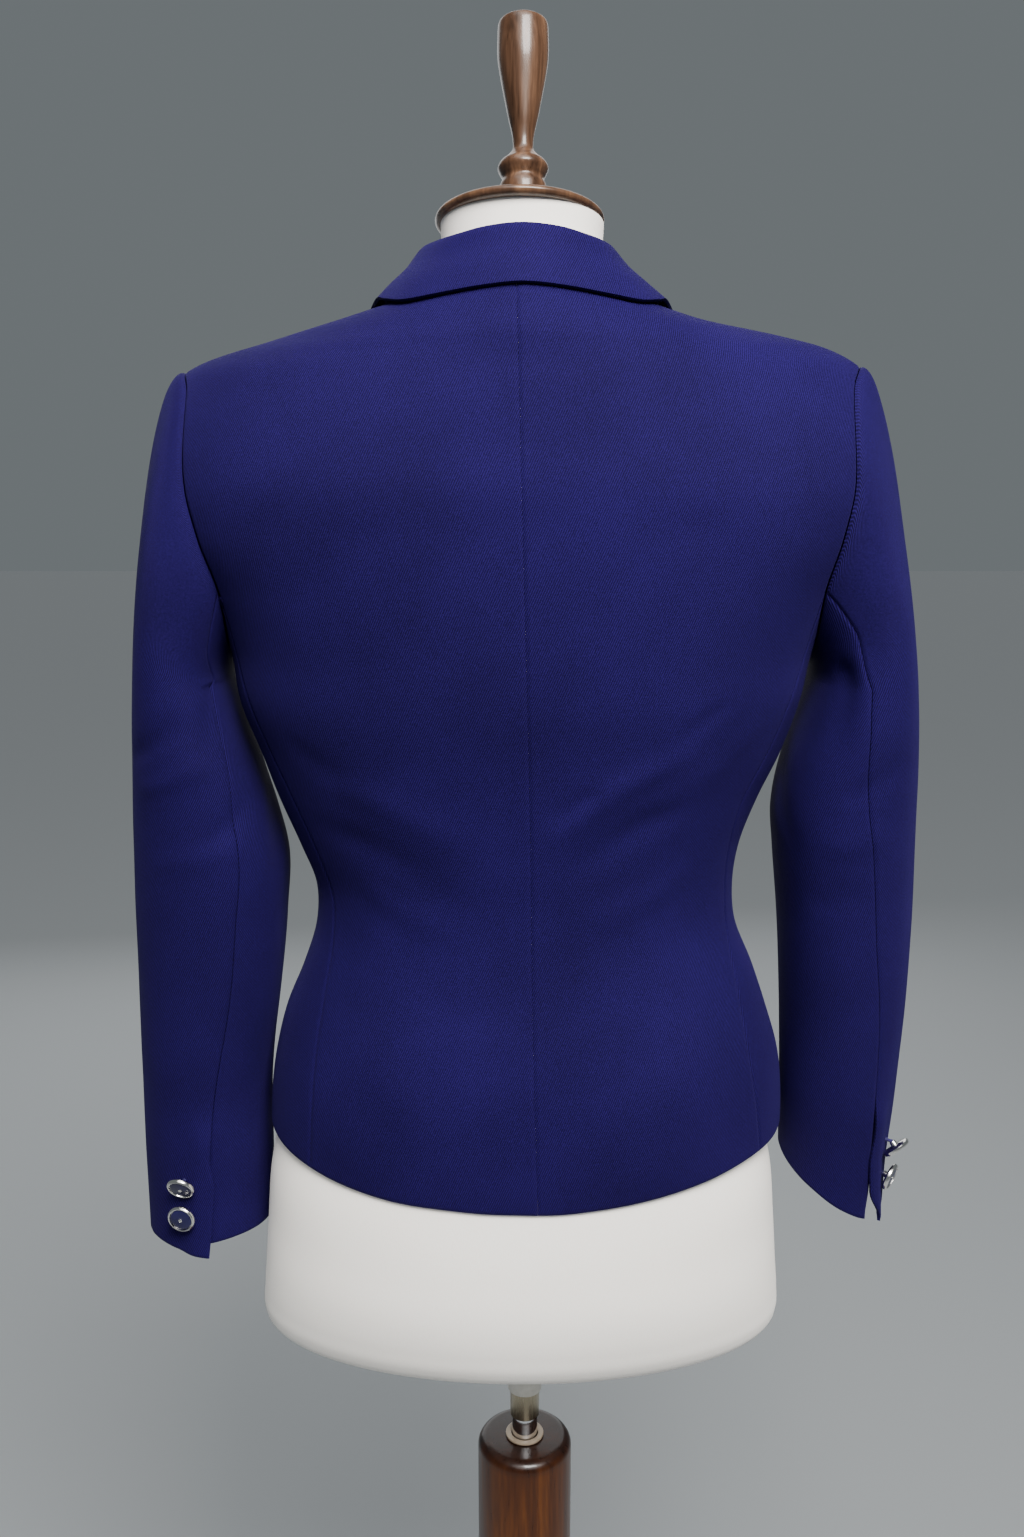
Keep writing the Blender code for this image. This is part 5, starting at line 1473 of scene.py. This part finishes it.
def droop_down(normal, degrees):
    """The direction normal, tipped down by degrees."""
    up = np.array([0.0, 0.0, 1.0]) - normal * normal[2]
    up /= np.linalg.norm(up)
    turn = math.radians(degrees)
    return normal * math.cos(turn) - up * math.sin(turn)


def button_rim(name, size):
    """The metal shell with its shank and a raised rim round the well."""
    low = size["shank"]
    top = low + size["thick"]
    wide = size["radius"]
    reach = wide - size["rim"]
    rows = [(2.0, 0.0), (2.3, low - 0.4), (wide - 1.9, low), (wide - 0.6, low + 0.5), (wide, low + 1.3)]
    rows += [(wide, top - 1.1), (wide - 0.35, top - 0.45), (wide - 0.95, top), (wide - 1.5, top - 0.15)]
    rows += [(reach + 0.2, top - 0.55), (reach, top - 0.9), (reach, top - 1.3)]
    return turned_piece(name, rows, 64)


def button_face(name, size):
    """The enamel centre, a shallow dome."""
    top = size["shank"] + size["thick"]
    reach = size["radius"] - size["rim"] - 0.25
    rows = [(reach, top - 1.0), (reach, top - 0.75), (reach - 0.5, top - 0.5), (reach * 0.75, top - 0.25)]
    rows += [(reach * 0.5, top - 0.08), (reach * 0.25, top), (reach * 0.08, top + 0.02)]
    return turned_piece(name, rows, 64)


def button_dot(name, size):
    """The small plain dot in the middle of the centre."""
    top = size["shank"] + size["thick"]
    rows = [(1.3, top - 0.1), (1.3, top + 0.25), (1.0, top + 0.5), (0.5, top + 0.6)]
    return turned_piece(name, rows, 24)


def button_thread(name, length):
    """The bound thread that holds the shank to the cloth, length millimetres long, below its foot."""
    rows = [(1.5, -length), (1.1, -length * 0.7), (1.0, -length * 0.3), (1.3, 0.1)]
    return turned_piece(name, rows, 16)


def add_button(node_name, size, normal, droop=0.0):
    """A button in three pieces and its thread, in the place of its two CAD nodes."""
    facing = droop_down(normal, droop)
    foot = button_foot(node_name + "_rim", facing)
    turn = Vector(facing).to_track_quat("Z", "Y").to_euler()
    rim = button_rim(node_name + "_metal", size)
    face = button_face(node_name + "_enamel", size)
    dot = button_dot(node_name + "_dot", size)
    for made in (rim, face, dot):
        put(made, foot, turn)
    finish_hard(rim, "silver_metal", "form", node_name + "_rim")
    finish_hard(face, "navy_enamel", "form", node_name + "_face")
    finish_hard(dot, "silver_metal", "form", node_name + "_rim")
    reach = size["radius"] * math.sin(math.radians(droop)) - size["shank"] * math.cos(math.radians(droop))
    thread = button_thread(node_name + "_thread", BUTTON_GAP + max(0.0, reach))
    put(thread, foot, Vector(normal).to_track_quat("Z", "Y").to_euler())
    finish_hard(thread, "sewing_thread", "form", node_name + "_rim")


def add_buttons():
    """Two buttons on each cuff, by the vent, and two down the right front."""
    for name, side, alpha, level, droop in CUFF_BUTTON_PLACES:
        normal = sleeve_normal(side, np.array(alpha), np.array(level))
        add_button("cuff_button_" + SIDE_NAMES[side] + "_" + name, CUFF_BUTTON, normal, droop)
    for name, x, z in FRONT_BUTTON_PLACES:
        phi = phi_at_x(RIGHT, -x, np.array(z), -1)
        add_button("front_button_" + name, FRONT_BUTTON, body_normal(RIGHT, phi, z))


# Stage


def add_camera():
    """The camera, behind the form."""
    lens = bpy.data.cameras.new("camera")
    lens.lens = CAMERA_LENS
    lens.sensor_width = SENSOR_WIDTH
    lens.clip_start = 0.01
    camera = bpy.data.objects.new("camera", lens)
    camera.location = [value * MM for value in CAMERA_PLACE]
    pitch = math.radians(CAMERA_PITCH)
    aim = Vector((0.0, -math.cos(pitch), -math.sin(pitch)))
    camera.rotation_euler = aim.to_track_quat("-Z", "Y").to_euler()
    bpy.context.scene.collection.objects.link(camera)
    bpy.context.scene.camera = camera


def add_light(name, place, target, size, power, colour):
    """A soft square light at place, in metres, that faces target."""
    lamp = bpy.data.lights.new(name, "AREA")
    lamp.shape = "SQUARE"
    lamp.size = size
    lamp.energy = power
    lamp.color = colour
    made = bpy.data.objects.new(name, lamp)
    made.location = place
    aim = Vector(target) - Vector(place)
    made.rotation_euler = aim.to_track_quat("-Z", "Y").to_euler()
    bpy.context.scene.collection.objects.link(made)


def add_stage():
    """A plain pale floor, an even grey surround and soft lights, the strongest from above and behind."""
    deselect()
    bpy.ops.mesh.primitive_plane_add(size=FLOOR_SIZE, location=(0.0, 0.0, -FLOOR_GAP))
    floor = bpy.context.object
    floor.name = "floor"
    floor.data.materials.append(new_material("pale_floor", Base_Color=FLOOR_COLOUR, Roughness=0.9)[0])
    world = bpy.data.worlds.new("surround")
    bpy.context.scene.world = world
    world.use_nodes = True
    background = world.node_tree.nodes["Background"]
    background.inputs["Color"].default_value = SURROUND_COLOUR
    background.inputs["Strength"].default_value = 1.0
    sky = bpy.data.lights.new("even_light", "SUN")
    sky.energy = EVEN_LIGHT
    sky.angle = math.radians(EVEN_LIGHT_SPREAD)
    sun = bpy.data.objects.new("even_light", sky)
    sun.rotation_euler = [math.radians(turn) for turn in EVEN_LIGHT_TURN]
    bpy.context.scene.collection.objects.link(sun)
    for name, place, target, size, power, colour in LIGHTS:
        add_light(name, place, target, size, power, colour)


def main():
    """The stage, then the blazer, then the form and its stand."""
    add_camera()
    add_stage()
    add_backs()
    add_side_panels()
    add_fronts()
    add_lapels()
    add_collar()
    add_pocket_flaps()
    add_sleeves()
    add_buttons()
    add_torso()
    add_neck()
    add_tubes()
    add_post_and_base()


main()
